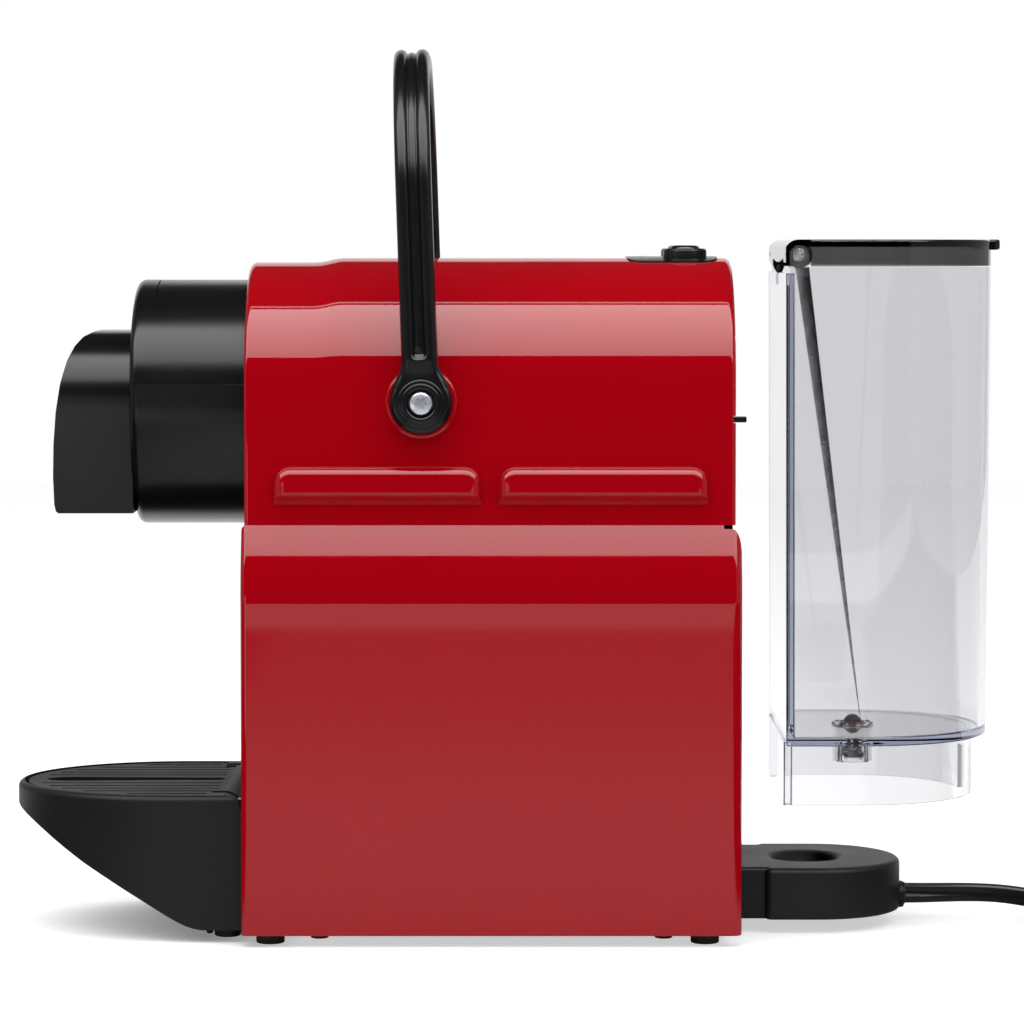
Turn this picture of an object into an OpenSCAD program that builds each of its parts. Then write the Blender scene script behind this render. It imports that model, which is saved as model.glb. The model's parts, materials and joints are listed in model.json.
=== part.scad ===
// Compact capsule espresso machine with a lift-off water tank.
// Millimetres, +Z up. The front faces -X and the water tank stands at the rear, +X.
// The origin lies on the table below the middle of the machine's bounding box.

/* [Housing] */
// Length of the lower housing, front to rear
body_l = 167.3; // [160:0.1:174]
// Width of the lower housing
body_w = 113; // [110:0.5:118]
// Height of the top face above the table
top_z = 230; // [228:0.5:236]
// Height of the crease between lower and upper housing
waist_z = 141; // [139:0.5:143]
// Height at which the lower side walls start to turn in
lower_shoulder_z = 115; // [112:0.5:118]
// Radius of the lower shoulder
lower_shoulder_r = 47; // [46:0.5:50]
// Radius of the upper shoulder
upper_shoulder_r = 42; // [38:0.5:44]
// Wall of the moulded housing
wall = 2.5; // [2:0.1:3]
// Drop of the top face in front of the lever
front_dip = 1.5; // [0.5:0.1:2]
// Radius of the vertical corners
corner_r = 6; // [4:0.5:8]
// Radius of the top edge at the front
top_front_r = 7; // [4:0.5:9]
// Radius of the top edge at the rear
top_rear_r = 7; // [5:0.5:9]
// How far the side ledges stand out
ledge_out = 4.5; // [3:0.1:5]
// Height of the side ledges
ledge_h = 9.3; // [7:0.1:10]
// Gap along the seam between the two housing halves
seam_gap = 0.3; // [0.2:0.05:0.4]

/* [Feet and base] */
// Height of the rubber feet
foot_h = 4; // [3.5:0.1:5]
// Radius of a rubber foot
foot_r = 4.8; // [4:0.1:6]
// Thickness of the base plate
base_t = 2.5; // [2:0.1:3]

/* [Brewing head] */
// Diameter of the brewing head
head_d = 84; // [82:0.5:86]
// Length of the head in front of the housing
head_l = 38; // [36:0.5:40]
// Height of the head's axis
head_z = 180.5; // [179:0.5:182]
// Height of the parting line between the head's covers
head_split_z = 188; // [186:0.5:190]
// Width of the capsule slot
slot_w = 38; // [37.5:0.5:39]
// Length of the capsule slot
slot_l = 29; // [28:0.5:30]
// Length of the spout cover
spout_l = 27; // [25:0.5:29]
// Width of the spout cover
spout_w = 62; // [58:0.5:66]
// Height of the spout cover's lower edge
spout_z0 = 143.5; // [143:0.5:146]
// Height of the spout cover's top
spout_z1 = 205; // [200:0.5:206]

/* [Lever] */
// Height of the lever's pivot
pivot_z = 182; // [181:0.5:183]
// Distance of the pivot behind the front of the lower housing
pivot_back = 60.3; // [59:0.1:62]
// Overall width over the lever's arms
lever_w = 120; // [119.5:0.5:122]
// Reach of the lever from its pivot to its outer edge
lever_reach = 119; // [118:0.5:121]
// Thickness of an arm, seen from the front
arm_t = 6; // [5:0.1:6]
// Width of an arm, seen from the side
arm_w = 12.7; // [11:0.1:13]
// Corner radius of the arch
arch_r = 46; // [40:0.5:48]
// Forward lean of the lever at rest
lever_lean = 1.9; // [0:0.1:3]
// Radius of the round end of an arm
boss_r = 10.3; // [9:0.1:11]
// Diameter of the lever's shaft
shaft_d = 10; // [9:0.1:11]

/* [Brewing unit] */
// Stroke of the capsule cage
cage_stroke = 28; // [27:0.1:28]
// Swing of the lever from closed to open
lever_swing = 100; // [98:0.5:102]
// Part of the swing between closed and the rest position
lever_closing = 72; // [70:0.5:74]
// Smallest radius of the spiral cam slot
cam_r0 = 11; // [11:0.1:11.3]
// Thickness of a cam plate
cam_t = 3; // [2.5:0.1:3.2]
// Radius of a cage pin
pin_r = 3; // [2.5:0.1:3.1]
// Outer radius of the capsule cage
cage_r = 17.5; // [17:0.1:17.8]
// Inner radius of the capsule cage
cage_bore_r = 15; // [14.5:0.1:15.3]
// Length of the capsule cage
cage_l = 30; // [29:0.5:31]

/* [Capsule drawer] */
// Width of the drawer front
drawer_w = 82; // [78:0.5:84]
// Height of the drawer front's top edge
drawer_top = 133; // [130:0.5:134]
// Depth of the used-capsule container
bin_l = 70; // [66:0.5:72]
// Height of the used-capsule container
bin_h = 92; // [86:0.5:94]
// Wall of the used-capsule container
bin_wall = 1.6; // [1.2:0.1:2]

/* [Drip tray] */
// Length of the drip tray in front of the housing
tray_l = 80; // [78:0.5:82]
// Half width of the drip tray
tray_b = 47; // [45:0.5:48]
// Height of the drip tray's rim
tray_z = 49.7; // [49:0.1:50.5]
// Height of the band below the rim
tray_band = 15; // [12:0.5:17]
// Lowest point of the drip tray
tray_keel_z = 2.8; // [2:0.1:3.5]
// Wall of the drip tray
tray_wall = 2.5; // [2:0.1:3]
// Radius of the rear top edge, about the folding hinge
tray_hinge_r = 6.5; // [5.5:0.1:7]
// Thickness of the drip grid
grid_t = 2.4; // [2:0.1:3]
// Width of the grid's narrow slots
grid_slot_w = 1.7; // [1.4:0.1:2]
// Spacing of the grid's narrow slots
grid_pitch = 6.8; // [6.4:0.1:7.2]

/* [Water tank] */
// Half width of the water tank
tank_b = 47; // [46:0.1:47]
// Length of the tank's straight sides
tank_straight = 26.5; // [25:0.5:28]
// Wall of the tank
tank_wall = 2.5; // [2:0.1:2.8]
// Height of the tank from floor to rim
tank_h = 160.8; // [152:0.1:162]
// Depth of the skirt below the tank's floor
skirt_h = 20.5; // [19:0.5:20.5]
// Height of the lid
lid_h = 9; // [8.5:0.1:10]
// Thickness of the lid's plate
lid_t = 2.5; // [2:0.1:2.6]
// Radius of the lid's hinge pins
lid_pin_r = 2; // [1.6:0.1:2.3]
// Rearward distance of the lifted tank from its seat
tank_back = 16.4; // [16.4:0.1:18]
// Height of the lifted tank above its seat
tank_lift = 43.4; // [43:0.1:48]
// Radius of the valve's guide under the tank
valve_r = 6.8; // [6.4:0.1:6.9]
// Depth of the valve's guide under the floor
valve_l = 10.4; // [10:0.1:12.7]

/* [Tank base] */
// Half width of the round tank base
puck_r = 30; // [28:0.5:31]
// Height of the tank base's top
puck_z1 = 22.5; // [22:0.1:23]
// Height of the tank base's underside
puck_z0 = 4.9; // [4.5:0.1:5.5]
// Distance from the housing to the end of the tank base
puck_l = 57.7; // [56:0.1:60]

/* [Controls] */
// Radius of a button cap
cap_r = 5.4; // [5:0.1:5.8]
// Height of a button cap's top
cap_z = 234.3; // [234:0.1:240]
// Travel of a button
cap_travel = 0.8; // [0.5:0.1:0.8]
// Spacing of the two buttons
cap_pitch = 18; // [17:0.5:19]
// Width of the control panel
panel_w = 39; // [38:0.5:42]
// Length of the control panel
panel_l = 31; // [29:0.5:32]

/* [Power cord] */
// Width of the flat twin lead
cord_w = 7; // [6:0.5:7]
// Thickness of the flat twin lead
cord_t = 3.6; // [3:0.1:4]

/* [Fits] */
// Radial running clearance of a shaft in its bore
run_fit = 0.05; // [0.03:0.01:0.1]
// Clearance between sliding faces
slide_fit = 0.3; // [0.2:0.05:0.4]
// Clearance of the spiral slot round the cage pins
cam_fit = 0.3; // [0.25:0.05:0.4]

/* [Hidden] */
$fn = 96;
eps = 0.01;

// Housing
// The upper housing fits between the lever's arms
arm_gap = 4;
upper_w = lever_w - 2 * (arm_t + arm_gap);
body_x0 = -89;
body_x1 = body_x0 + body_l;
upper_x0 = body_x0 + 1;
upper_x1 = body_x1 - 2;
body_z0 = foot_h;
dip_x0 = body_x0 + 23;
dip_x1 = dip_x0 + 10;
bulge_r = 34;
bulge_z = waist_z + 14;
ledge_z = waist_z + 10.4;
ledges = [[body_x0 + 11.2, body_x0 + 80.1], [body_x0 + 86.2, body_x1 - 11.4]];
ledge_round = 3.6;
screw_x = [body_x0 + 26, body_x1 - 26];
screw_y = body_w / 2 - wall - 4.5;
// Lower front opening for the drawer, and rear opening for the panel
bay_w = drawer_w + 2;
bay_top = drawer_top + 1;
rear_open_w = 2 * tank_b + 7;
rear_open_upper_w = upper_w - 9;
rear_open_z = top_z - 26;
// Lever
pivot_x = body_x0 + pivot_back;
ring_r = boss_r + 1.8;
ring_y = lever_w / 2 - arm_t - 0.5;
cam_k = cage_stroke / lever_swing;
cam_r1 = cam_r0 + cage_stroke;
cam_rest_r = cam_r1 - cam_k * lever_closing;
cam_margin = 2.2;
cam_a0 = 180 - lever_closing;
cam_steps = 40;
cam_end_steps = 10;
cam_y = 10;
pin_x = pivot_x - cam_rest_r;
// Brewing head: the cage is drawn at rest, pulled back from the outlet plate
head_x0 = upper_x0 - head_l - 1;
outlet_x = head_x0 + 8;
cage_back = cam_k * lever_closing;
cage_x0 = outlet_x + slide_fit + cage_back;
frame_y0 = 20.5;
frame_t = 2.5;
frame_z0 = pivot_z - 19;
frame_z1 = pivot_z + 19;
slot_x0 = head_x0 + 7.5;
shutter_t = 1.4;
track_w = slot_w + 5;
spout_x0 = head_x0 - spout_l;
// Base and drawer
floor_z = body_z0 + base_t;
carrier_z = floor_z + 1.5;
carrier_t = 2;
bin_z0 = carrier_z + carrier_t;
bin_x0 = body_x0 + 5.5;
bin_x1 = bin_x0 + bin_l;
bin_w = drawer_w - 10;
bay_wall_x = bin_x1 + 6;
drawer_front_t = 2.5;
drawer_x0 = body_x0 + 1.5;
// Drip tray
tray_x1 = body_x0 - 0.4;
tray_x0 = tray_x1 - tray_l;
tray_a = 56;
hinge_x = tray_x1 - tray_hinge_r;
hinge_z = tray_z - tray_hinge_r;
hinge_pin_r = 2;
lug_y = 34;
lug_t = 4;
grid_inset = 2.6;
grid_z0 = tray_z - grid_t - 0.4;
// Water tank, drawn lifted off its seat
seat_front_x = upper_x1 + 0.3;
seat_floor_z = puck_z1 + 0.3;
tank_x0 = seat_front_x + tank_back;
tank_xc = tank_x0 + tank_straight;
tank_z0 = seat_floor_z + tank_lift;
tank_z1 = tank_z0 + tank_h;
skirt_in = 5.9;
valve_x = tank_xc;
lid_z0 = tank_z1 + 0.3;
lid_z1 = lid_z0 + lid_h;
lid_pin_x = tank_x0 + 4.4;
lid_pin_z = lid_z1 - 5.1;
lid_boss_r = 4.5;
claw_w = 12;
ear_t = 2.4;
lid_boss_y0 = tank_b - 8.5;
lid_boss_y1 = tank_b - ear_t - 0.4;
guide_y = tank_b + 0.4;
guide_y0 = min(guide_y - 3.4, rear_open_upper_w / 2 - slide_fit - 1.2);
guide_z = pivot_z - 6.7;
guide_h = 2;
// Tank base
socket_x = valve_x - tank_back;
socket_z0 = seat_floor_z - valve_l - 0.2;
puck_xc = body_x1 + puck_l - puck_r;
neck_x0 = body_x1 - 12;
// Controls
cap_x = body_x1 - 17.6;
panel_x1 = cap_x + 11;
panel_x0 = panel_x1 - panel_l;
switch_z = top_z - 11;
board_z = switch_z - 5;
// Internals
block_x0 = bay_wall_x + 8.5;
block_z0 = waist_z + 9;
block = [44, 44, 42];
pump_z = floor_z + 34;
pump_x0 = bay_wall_x + 17;
meter_x = body_x1 - 34;
meter_y = 36;
// Power cord: the lead leaves the tank base, coils on the table and ends in the plug
cord_z = 9.5;
cord_exit_x = body_x1 + puck_l + 2;
coil_c = [221, -42];
coil_r = 42;
coil_turns = 2.25;
coil_pitch = 7.2;
lead_points = [[cord_exit_x, 0, cord_z], [150, 0, 9.6], [160, 0, 9.7], [170, 0, 9.3], [180, 0, 8],
    [190, 0, 6.1], [200, 0, 4.4], [208, 0, 3.7], [217, 0, 3.6]];
// The end of the lead leaves the coil on top, comes down round its outside and ends at the plug
tail_c = [coil_c[0] + 2, coil_c[1] - 20];
tail_r = 40;
tail_z = [15.5, 11.5, 7.8, 5.4, 4.4, 4.4, 5];
tail_points = concat([[tail_c[0] + tail_r, coil_c[1] - 4, 19.5], [tail_c[0] + tail_r, coil_c[1] - 12, 18]],
    [for (i = [0:6]) [tail_c[0] + tail_r * cos(15 * i), tail_c[1] - tail_r * sin(15 * i), tail_z[i]]],
    [[tail_c[0] - 9, tail_c[1] - tail_r, 6.5]]);
plug_at = [tail_c[0] - 9, tail_c[1] - tail_r, 9];
relief_l = 22;
relief_r = [4.4, 3.8];

// ---------- shared shapes ----------

// Extrudes an outline drawn in (y, z) along X
module along_x(x0, x1) {
    translate([x0, 0, 0]) rotate([90, 0, 90]) linear_extrude(x1 - x0) children();
}

// Extrudes an outline drawn in (x, z) along Y
module along_y(y0, y1) {
    translate([0, y1, 0]) rotate([90, 0, 0]) linear_extrude(y1 - y0) children();
}

// Extrudes an outline drawn in (x, y) along Z
module along_z(z0, z1) {
    translate([0, 0, z0]) linear_extrude(z1 - z0) children();
}

module x_cylinder(x0, x1, y, z, r) {
    translate([x0, y, z]) rotate([0, 90, 0]) cylinder(h = x1 - x0, r = r);
}

module y_cylinder(y0, y1, x, z, r) {
    translate([x, y1, z]) rotate([90, 0, 0]) cylinder(h = y1 - y0, r = r);
}

module box(x0, x1, y0, y1, z0, z1) {
    translate([x0, y0, z0]) cube([x1 - x0, y1 - y0, z1 - z0]);
}

module both_sides() {
    children();
    mirror([0, 1, 0]) children();
}

// Rectangle with round corners
module round_rect(x0, x1, y0, y1, r) {
    translate([x0 + r, y0]) square([x1 - x0 - 2 * r, y1 - y0]);
    translate([x0, y0 + r]) square([x1 - x0, y1 - y0 - 2 * r]);
    for (x = [x0 + r, x1 - r], y = [y0 + r, y1 - r]) translate([x, y]) circle(r);
}

// Sideways directions along a route, each carried on from the one before without twist
function carried(dirs, i, side) = let (w = side - (side * dirs[i]) * dirs[i], u = w / norm(w))
    i == len(dirs) - 1 ? [u] : concat([u], carried(dirs, i + 1, u));

// Sweeps a convex outline along a route; its first axis starts out along `side`
module sweep(points, outline, side) {
    n = len(points);
    m = len(outline);
    dirs = [for (i = [0:n - 1]) let (v = points[min(i + 1, n - 1)] - points[max(i - 1, 0)])
        v / norm(v)];
    sides = carried(dirs, 0, side);
    pts = [for (i = [0:n - 1]) let (v = cross(sides[i], dirs[i]))
        each [for (q = outline) points[i] + q[0] * sides[i] + q[1] * v]];
    faces = [for (i = [0:n - 2], j = [0:m - 1]) let (k = (j + 1) % m)
        [m * i + j, m * (i + 1) + j, m * (i + 1) + k, m * i + k]];
    caps = [[for (j = [0:m - 1]) j], [for (j = [m - 1:-1:0]) m * (n - 1) + j]];
    polyhedron(pts, concat(faces, caps));
}

// Outline in (y, z) with straight walls up to zs and round shoulders above
module shoulder_outline(hw, z0, zs, z1, r) {
    translate([-hw, z0]) square([2 * hw, zs - z0]);
    intersection() {
        translate([-hw, z0]) square([2 * hw, z1 - z0]);
        union() {
            for (s = [-1, 1]) translate([s * (hw - r), zs]) circle(r);
            translate([-(hw - r), z0]) square([2 * (hw - r), zs + r - z0]);
        }
    }
}

// ---------- housing ----------

// Front outline of the lower housing, g inside the outer face
module lower_outline(g) {
    shoulder_outline(body_w / 2 - g, body_z0 - (g > 0 ? 1 : 0), lower_shoulder_z, waist_z - g,
        lower_shoulder_r - g);
}

// Front outline of the upper housing, g inside the outer face
module upper_outline(g) {
    hw = upper_w / 2 - g;
    intersection() {
        shoulder_outline(hw, waist_z - 12 * g / wall, top_z - upper_shoulder_r, top_z - g,
            upper_shoulder_r - g);
        union() {
            for (s = [-1, 1]) translate([s * (upper_w / 2 - bulge_r), bulge_z]) circle(bulge_r - g);
            translate([-(upper_w / 2 - bulge_r), 0]) square([upper_w - 2 * bulge_r, top_z]);
            translate([-hw, bulge_z]) square([2 * hw, top_z]);
        }
    }
}

// Side outline of the upper housing, with the dip in front of the lever
module upper_side(g) {
    x0 = upper_x0 + g;
    x1 = upper_x1 - g;
    z1 = top_z - g;
    rf = top_front_r;
    rr = top_rear_r;
    difference() {
        union() {
            translate([x0, 0]) square([x1 - x0, z1 - rr]);
            translate([x0, 0]) square([x1 - x0 - rr, z1 - front_dip - rf]);
            translate([x0 + rf, 0]) square([x1 - x0 - rf - rr, z1]);
            translate([x0 + rf, z1 - front_dip - rf]) circle(rf);
            translate([x1 - rr, z1 - rr]) circle(rr);
            translate([x0, 0]) square([rf, z1 - front_dip - rf]);
        }
        polygon([[x0 - 1, z1 - front_dip], [dip_x0, z1 - front_dip], [dip_x1, z1], [dip_x1, z1 + 1],
            [x0 - 1, z1 + 1]]);
    }
}

module lower_form(g) {
    intersection() {
        along_x(body_x0 + g, body_x1 - g) lower_outline(g);
        along_z(0, top_z) round_rect(body_x0 + g, body_x1 - g, -body_w / 2 + g, body_w / 2 - g,
            corner_r - g / 2);
    }
}

module upper_form(g) {
    intersection() {
        along_x(upper_x0 + g, upper_x1 - g) upper_outline(g);
        along_y(-body_w, body_w) upper_side(g);
        along_z(0, top_z) round_rect(upper_x0 + g, upper_x1 - g, -upper_w / 2 + g, upper_w / 2 - g,
            corner_r - g / 2);
    }
}

// One side ledge: flat underneath, rounded over on top
module ledge(x0, x1) {
    y0 = upper_w / 2 - 3.2;
    y1 = upper_w / 2 + ledge_out;
    z1 = ledge_z + ledge_h;
    r = 6;
    intersection() {
        along_x(x0, x1) union() {
            polygon([[y0, ledge_z], [y1 - 0.8, ledge_z], [y1, ledge_z + 0.8],
                [y1, z1 - ledge_round], [y1 - ledge_round, z1], [y0, z1]]);
            translate([y1 - ledge_round, z1 - ledge_round]) circle(ledge_round);
        }
        along_y(0, body_w) union() {
            translate([x0, ledge_z]) square([x1 - x0, ledge_h - r]);
            translate([x0 + r, ledge_z]) square([x1 - x0 - 2 * r, ledge_h]);
            for (x = [x0 + r, x1 - r]) translate([x, ledge_z + ledge_h - r]) circle(r);
        }
    }
}

// The +Y half of the housing
module half_housing() {
    difference() {
        union() {
            difference() {
                union() {
                    lower_form(0);
                    upper_form(0);
                }
                lower_form(wall);
                upper_form(wall);
            }
            for (l = ledges) ledge(l[0], l[1]);
            y_cylinder(upper_w / 2 - wall - 1, ring_y, pivot_x, pivot_z, ring_r);
            // Screw posts that reach down to the base plate
            for (x = screw_x) translate([x, screw_y, floor_z])
                cylinder(h = 16, r = 3.6);
            for (x = screw_x) box(x - 1, x + 1, screw_y, body_w / 2 - wall, floor_z, floor_z + 16);
        }
        box(body_x0 - 90, body_x1 + 90, -body_w, seam_gap / 2, -1, top_z + 10);
        box(body_x0 - 1, body_x0 + corner_r, -bay_w, bay_w / 2, body_z0 - 1, bay_top);
        x_cylinder(body_x0 - 1, body_x0 + 12, 0, head_z, head_d / 2 + slide_fit);
        box(body_x1 - corner_r, body_x1 + 1, -body_w, rear_open_w / 2, body_z0 - 1, waist_z);
        box(upper_x1 - corner_r, body_x1 + 1, -body_w, rear_open_upper_w / 2, waist_z - 1,
            rear_open_z);
        box(upper_x1 - 3.4, body_x1 + 1, guide_y0 - 0.6, guide_y + 2.2, guide_z - 0.2,
            guide_z + guide_h + 0.2);
        y_cylinder(0, body_w, pivot_x, pivot_z, shaft_d / 2 + 0.5);
        along_z(top_z - 12, top_z + 2) round_rect(panel_x0, panel_x1, -panel_w / 2, panel_w / 2, 6);
        for (x = screw_x) translate([x, screw_y, 0]) cylinder(h = floor_z + 14, r = 1.5);
    }
}

module left_housing() {
    color("firebrick") half_housing();
}

module right_housing() {
    color("firebrick") mirror([0, 1, 0]) half_housing();
}

// Black panel behind the tank, with a pocket for the lid's claw and two guide tabs
module rear_panel() {
    x1 = upper_x1 - 0.8;
    x0 = x1 - 2.5;
    g = slide_fit;
    claw_z = lid_pin_z - 7 - tank_lift;
    pocket = claw_w / 2 + 1;
    color("dimgray") difference() {
        union() {
            along_x(x0, x1) {
                translate([-rear_open_w / 2 + g, puck_z1 + g])
                    square([rear_open_w - 2 * g, waist_z - 3 - puck_z1]);
                translate([-rear_open_upper_w / 2 + g, puck_z1 + g])
                    square([rear_open_upper_w - 2 * g, rear_open_z - puck_z1 - 2 * g]);
            }
            box(x0 - 3, x1, -pocket - 1.5, pocket + 1.5, claw_z - 2.5, claw_z + 14.5);
            both_sides() along_z(guide_z, guide_z + guide_h) polygon([[x0, guide_y0],
                [x1, guide_y0], [x1, guide_y], [x1 + 3.8, guide_y], [x1 + 4.3, guide_y + 0.6],
                [x1 + 4.3, guide_y + 2], [x0, guide_y + 2]]);
        }
        box(x1 - 4, x1 + 1, -pocket, pocket, claw_z - 1, claw_z + 13);
    }
}

// Black strip on the crown of the housing with the bezels of the two buttons
module control_panel() {
    g = slide_fit / 2;
    color("dimgray") difference() {
        union() {
            intersection() {
                along_z(top_z - 14, top_z + 2) round_rect(panel_x0 + g, panel_x1 - g,
                    -panel_w / 2 + g, panel_w / 2 - g, 6 - g);
                difference() {
                    translate([0, 0, 0.5]) upper_form(0);
                    upper_form(wall + 0.5);
                }
            }
            for (s = [-1, 1]) translate([cap_x, s * cap_pitch / 2, top_z - 4])
                cylinder(h = 7.2, r = cap_r + 2.1);
        }
        for (s = [-1, 1]) translate([cap_x, s * cap_pitch / 2, top_z - 8])
            cylinder(h = 20, r = cap_r + 0.1);
    }
}

// Black frame round the drawer's opening
module drawer_bezel() {
    x0 = body_x0 + wall + 0.2;
    color("dimgray") difference() {
        along_x(x0, x0 + 2.5) translate([-bay_w / 2 - 4, floor_z])
            square([bay_w + 8, bay_top + 1 - floor_z]);
        along_x(x0 - 1, x0 + 4) translate([-drawer_w / 2 - 0.5, floor_z - 1])
            square([drawer_w + 1, drawer_top + 0.5 - floor_z + 1]);
    }
}

// Floor of the machine with the drawer's rails, the bay wall and the posts of the brewing unit
module base_plate() {
    in_w = body_w - 2 * wall - 1;
    color("gray") difference() {
        union() {
            along_z(body_z0, floor_z) round_rect(body_x0 + wall + 0.5, body_x1 - wall - 0.5,
                -in_w / 2, in_w / 2, 4);
            both_sides() box(body_x0 + 8, bay_wall_x, drawer_w / 2 - 2 + slide_fit,
                drawer_w / 2 + 1, floor_z - 1, floor_z + 8);
            box(bay_wall_x, bay_wall_x + 2.5, -in_w / 2 + 6, in_w / 2 - 6, floor_z - 1, bay_top - 6);
            box(bay_wall_x, bay_wall_x + 8, -14, 14, bay_top - 10, block_z0 - 4);
            both_sides() box(bay_wall_x, bay_wall_x + 8, frame_y0 - 2, frame_y0 + frame_t + 2,
                floor_z - 1, frame_z0);
        }
        for (x = screw_x, s = [-1, 1]) translate([x, s * screw_y, 0]) cylinder(h = floor_z + 1, r = 1.8);
    }
}

module feet() {
    color("black") for (x = [body_x0 + 9.2, body_x1 - 11.9], s = [-1, 1])
        translate([x, s * (body_w / 2 - 11.5), 0]) cylinder(h = foot_h, r = foot_r);
}

// Screws that hold the housing halves down on the base plate
module housing_screws() {
    color("silver") for (x = screw_x, s = [-1, 1])
        translate([x, s * screw_y, 0]) {
            translate([0, 0, body_z0 - 1.6]) cylinder(h = 1.6, r = 3);
            translate([0, 0, body_z0 - 1]) cylinder(h = base_t + 12, r = 1.45);
        }
}

// Low round base behind the housing that carries the tank and holds its water socket
module tank_base() {
    neck_w = 2 * puck_r - 6;
    color("dimgray") difference() {
        union() {
            along_z(puck_z0, puck_z1) {
                translate([body_x1 + 9.4, -puck_r]) square([puck_xc - body_x1 - 9.4, 2 * puck_r]);
                translate([puck_xc, 0]) circle(puck_r);
                translate([body_x1 - 1, -neck_w / 2]) square([12, neck_w]);
            }
            along_z(floor_z, puck_z1) translate([neck_x0, -neck_w / 2]) square([14, neck_w]);
            // Gland for the strain relief
            x_cylinder(body_x1 + puck_l - 8, body_x1 + puck_l + 1.5, 0, cord_z - 0.4, 4.6);
        }
        translate([socket_x, 0, socket_z0]) cylinder(h = puck_z1 - socket_z0,
            r1 = valve_r + 0.5, r2 = valve_r + 5.4);
        translate([socket_x, 0, puck_z0 + 4.4]) cylinder(h = 6, r = 1.5);
        x_cylinder(neck_x0 - 2, socket_x, 0, puck_z0 + 4.4, 1.5);
        relief_cone(0.01);
        translate([socket_x, 0, puck_z1]) cylinder(h = 1, r = valve_r + 5.4);
    }
}

// Rubber ring at the bottom of the tank base's socket
module valve_socket_seal() {
    color("black") translate([socket_x, 0, socket_z0]) difference() {
        cylinder(h = 0.15, r = valve_r - 0.3);
        translate([0, 0, -1]) cylinder(h = 3, r = 2.4);
    }
}

// ---------- brewing head ----------

module head_shell() {
    r = head_d / 2;
    difference() {
        union() {
            x_cylinder(head_x0 + 1.5, upper_x0 + 6, 0, head_z, r);
            translate([head_x0, 0, head_z]) rotate([0, 90, 0]) cylinder(h = 1.5, r1 = r - 1.5, r2 = r);
        }
        x_cylinder(head_x0 + 2.5, upper_x0 + 7, 0, head_z, r - 2.5);
        // Way for the coffee into the spout
        box(head_x0 - 1, head_x0 + 3, -7, 7, head_z - 9, head_z + 3);
    }
}

module head_upper_cover() {
    color("dimgray") difference() {
        head_shell();
        box(head_x0 - 5, body_x0 + 20, -head_d, head_d, 0, head_split_z + 0.1);
        box(slot_x0, slot_x0 + slot_l, -slot_w / 2, slot_w / 2, head_z + 20, head_z + head_d);
        // Track of the slot's shutter, open to the rear
        difference() {
            box(slot_x0, body_x0 + 20, -track_w / 2, track_w / 2, head_z + 20, head_z + head_d);
            x_cylinder(head_x0 - 5, body_x0 + 21, 0, head_z, head_d / 2 - shutter_t - 0.2);
        }
    }
}

// Curved shutter that closes the capsule slot flush and slides back under the housing
module slot_shutter() {
    x0 = slot_x0 + slide_fit;
    x1 = slot_x0 + slot_l + 2.5;
    hw = track_w / 2 - slide_fit;
    color("dimgray") intersection() {
        difference() {
            x_cylinder(x0, x1, 0, head_z, head_d / 2 - 0.05);
            x_cylinder(x0 - 1, x1 + 1, 0, head_z, head_d / 2 - shutter_t);
        }
        box(x0, x1, -hw, hw, head_z, head_z + head_d);
    }
}

module head_lower_cover() {
    color("dimgray") difference() {
        head_shell();
        box(head_x0 - 5, body_x0 + 20, -head_d, head_d, head_split_z - 0.1, head_z + head_d);
        // Relief for the front wall's edge below the head
        box(body_x0 - 0.5, body_x0 + 20, -head_d, head_d, 0, waist_z - 1);
    }
}

// Side outline of the spout cover
module spout_side() {
    x1 = head_x0;
    difference() {
        union() {
            translate([x1 - spout_l + 13, spout_z1 - 8]) circle(8);
            polygon([[x1, spout_z1], [x1 - spout_l + 13, spout_z1], [x1 - spout_l + 13, spout_z1 - 8],
                [x1 - spout_l + 5, spout_z1 - 8], [x1 - spout_l + 2.8, spout_z1 - 20],
                [x1 - spout_l + 1.1, spout_z1 - 32], [x1 - spout_l, spout_z1 - 45],
                [x1 - spout_l, spout_z0 + 4], [x1 - spout_l + 3, spout_z0], [x1, spout_z0]]);
        }
    }
}

module spout_outline(g) {
    hw = spout_w / 2 - g;
    translate([0, spout_z1 - spout_w / 2]) circle(hw);
    translate([-hw, spout_z0 - (g > 0 ? 5 : 0)])
        square([2 * hw, spout_z1 - spout_w / 2 - spout_z0 + (g > 0 ? 5 : 0)]);
}

// Front cover over the spout, open underneath
module spout_cover() {
    color("dimgray") difference() {
        intersection() {
            along_x(spout_x0 - 1, head_x0) spout_outline(0);
            along_y(-spout_w, spout_w) spout_side();
        }
        intersection() {
            along_x(spout_x0 + 4, head_x0 - 2.2) spout_outline(wall);
            along_y(-spout_w, spout_w) translate([wall + 0.4, -wall]) spout_side();
        }
        box(spout_x0 + 8, head_x0 - 2.2, -spout_w / 2 + 6, spout_w / 2 - 6, spout_z0 - 1,
            spout_z0 + 10);
        box(head_x0 - 4, head_x0 + 1, -7, 7, head_z - 9, head_z + 3);
    }
}

// Funnel and outlet nozzle below the outlet plate
module coffee_spout() {
    x = head_x0 - 12;
    z1 = head_z - 1;
    color("dimgray") difference() {
        union() {
            box(x, head_x0 + 3, -6, 6, z1 - 7, z1);
            translate([x, 0, spout_z0 + 1]) cylinder(h = z1 - spout_z0 - 1, r = 6);
            box(head_x0 + 2.5, outlet_x - 2.5, -16, 16, head_z - 16, head_z + 16);
        }
        translate([x, 0, spout_z0 - 1]) cylinder(h = z1 - spout_z0 - 2, r = 4.2);
        box(x, outlet_x, -4, 4, z1 - 5.5, z1 - 2);
        x_cylinder(outlet_x - 5, outlet_x + 1, 0, head_z, 13);
    }
}

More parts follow.
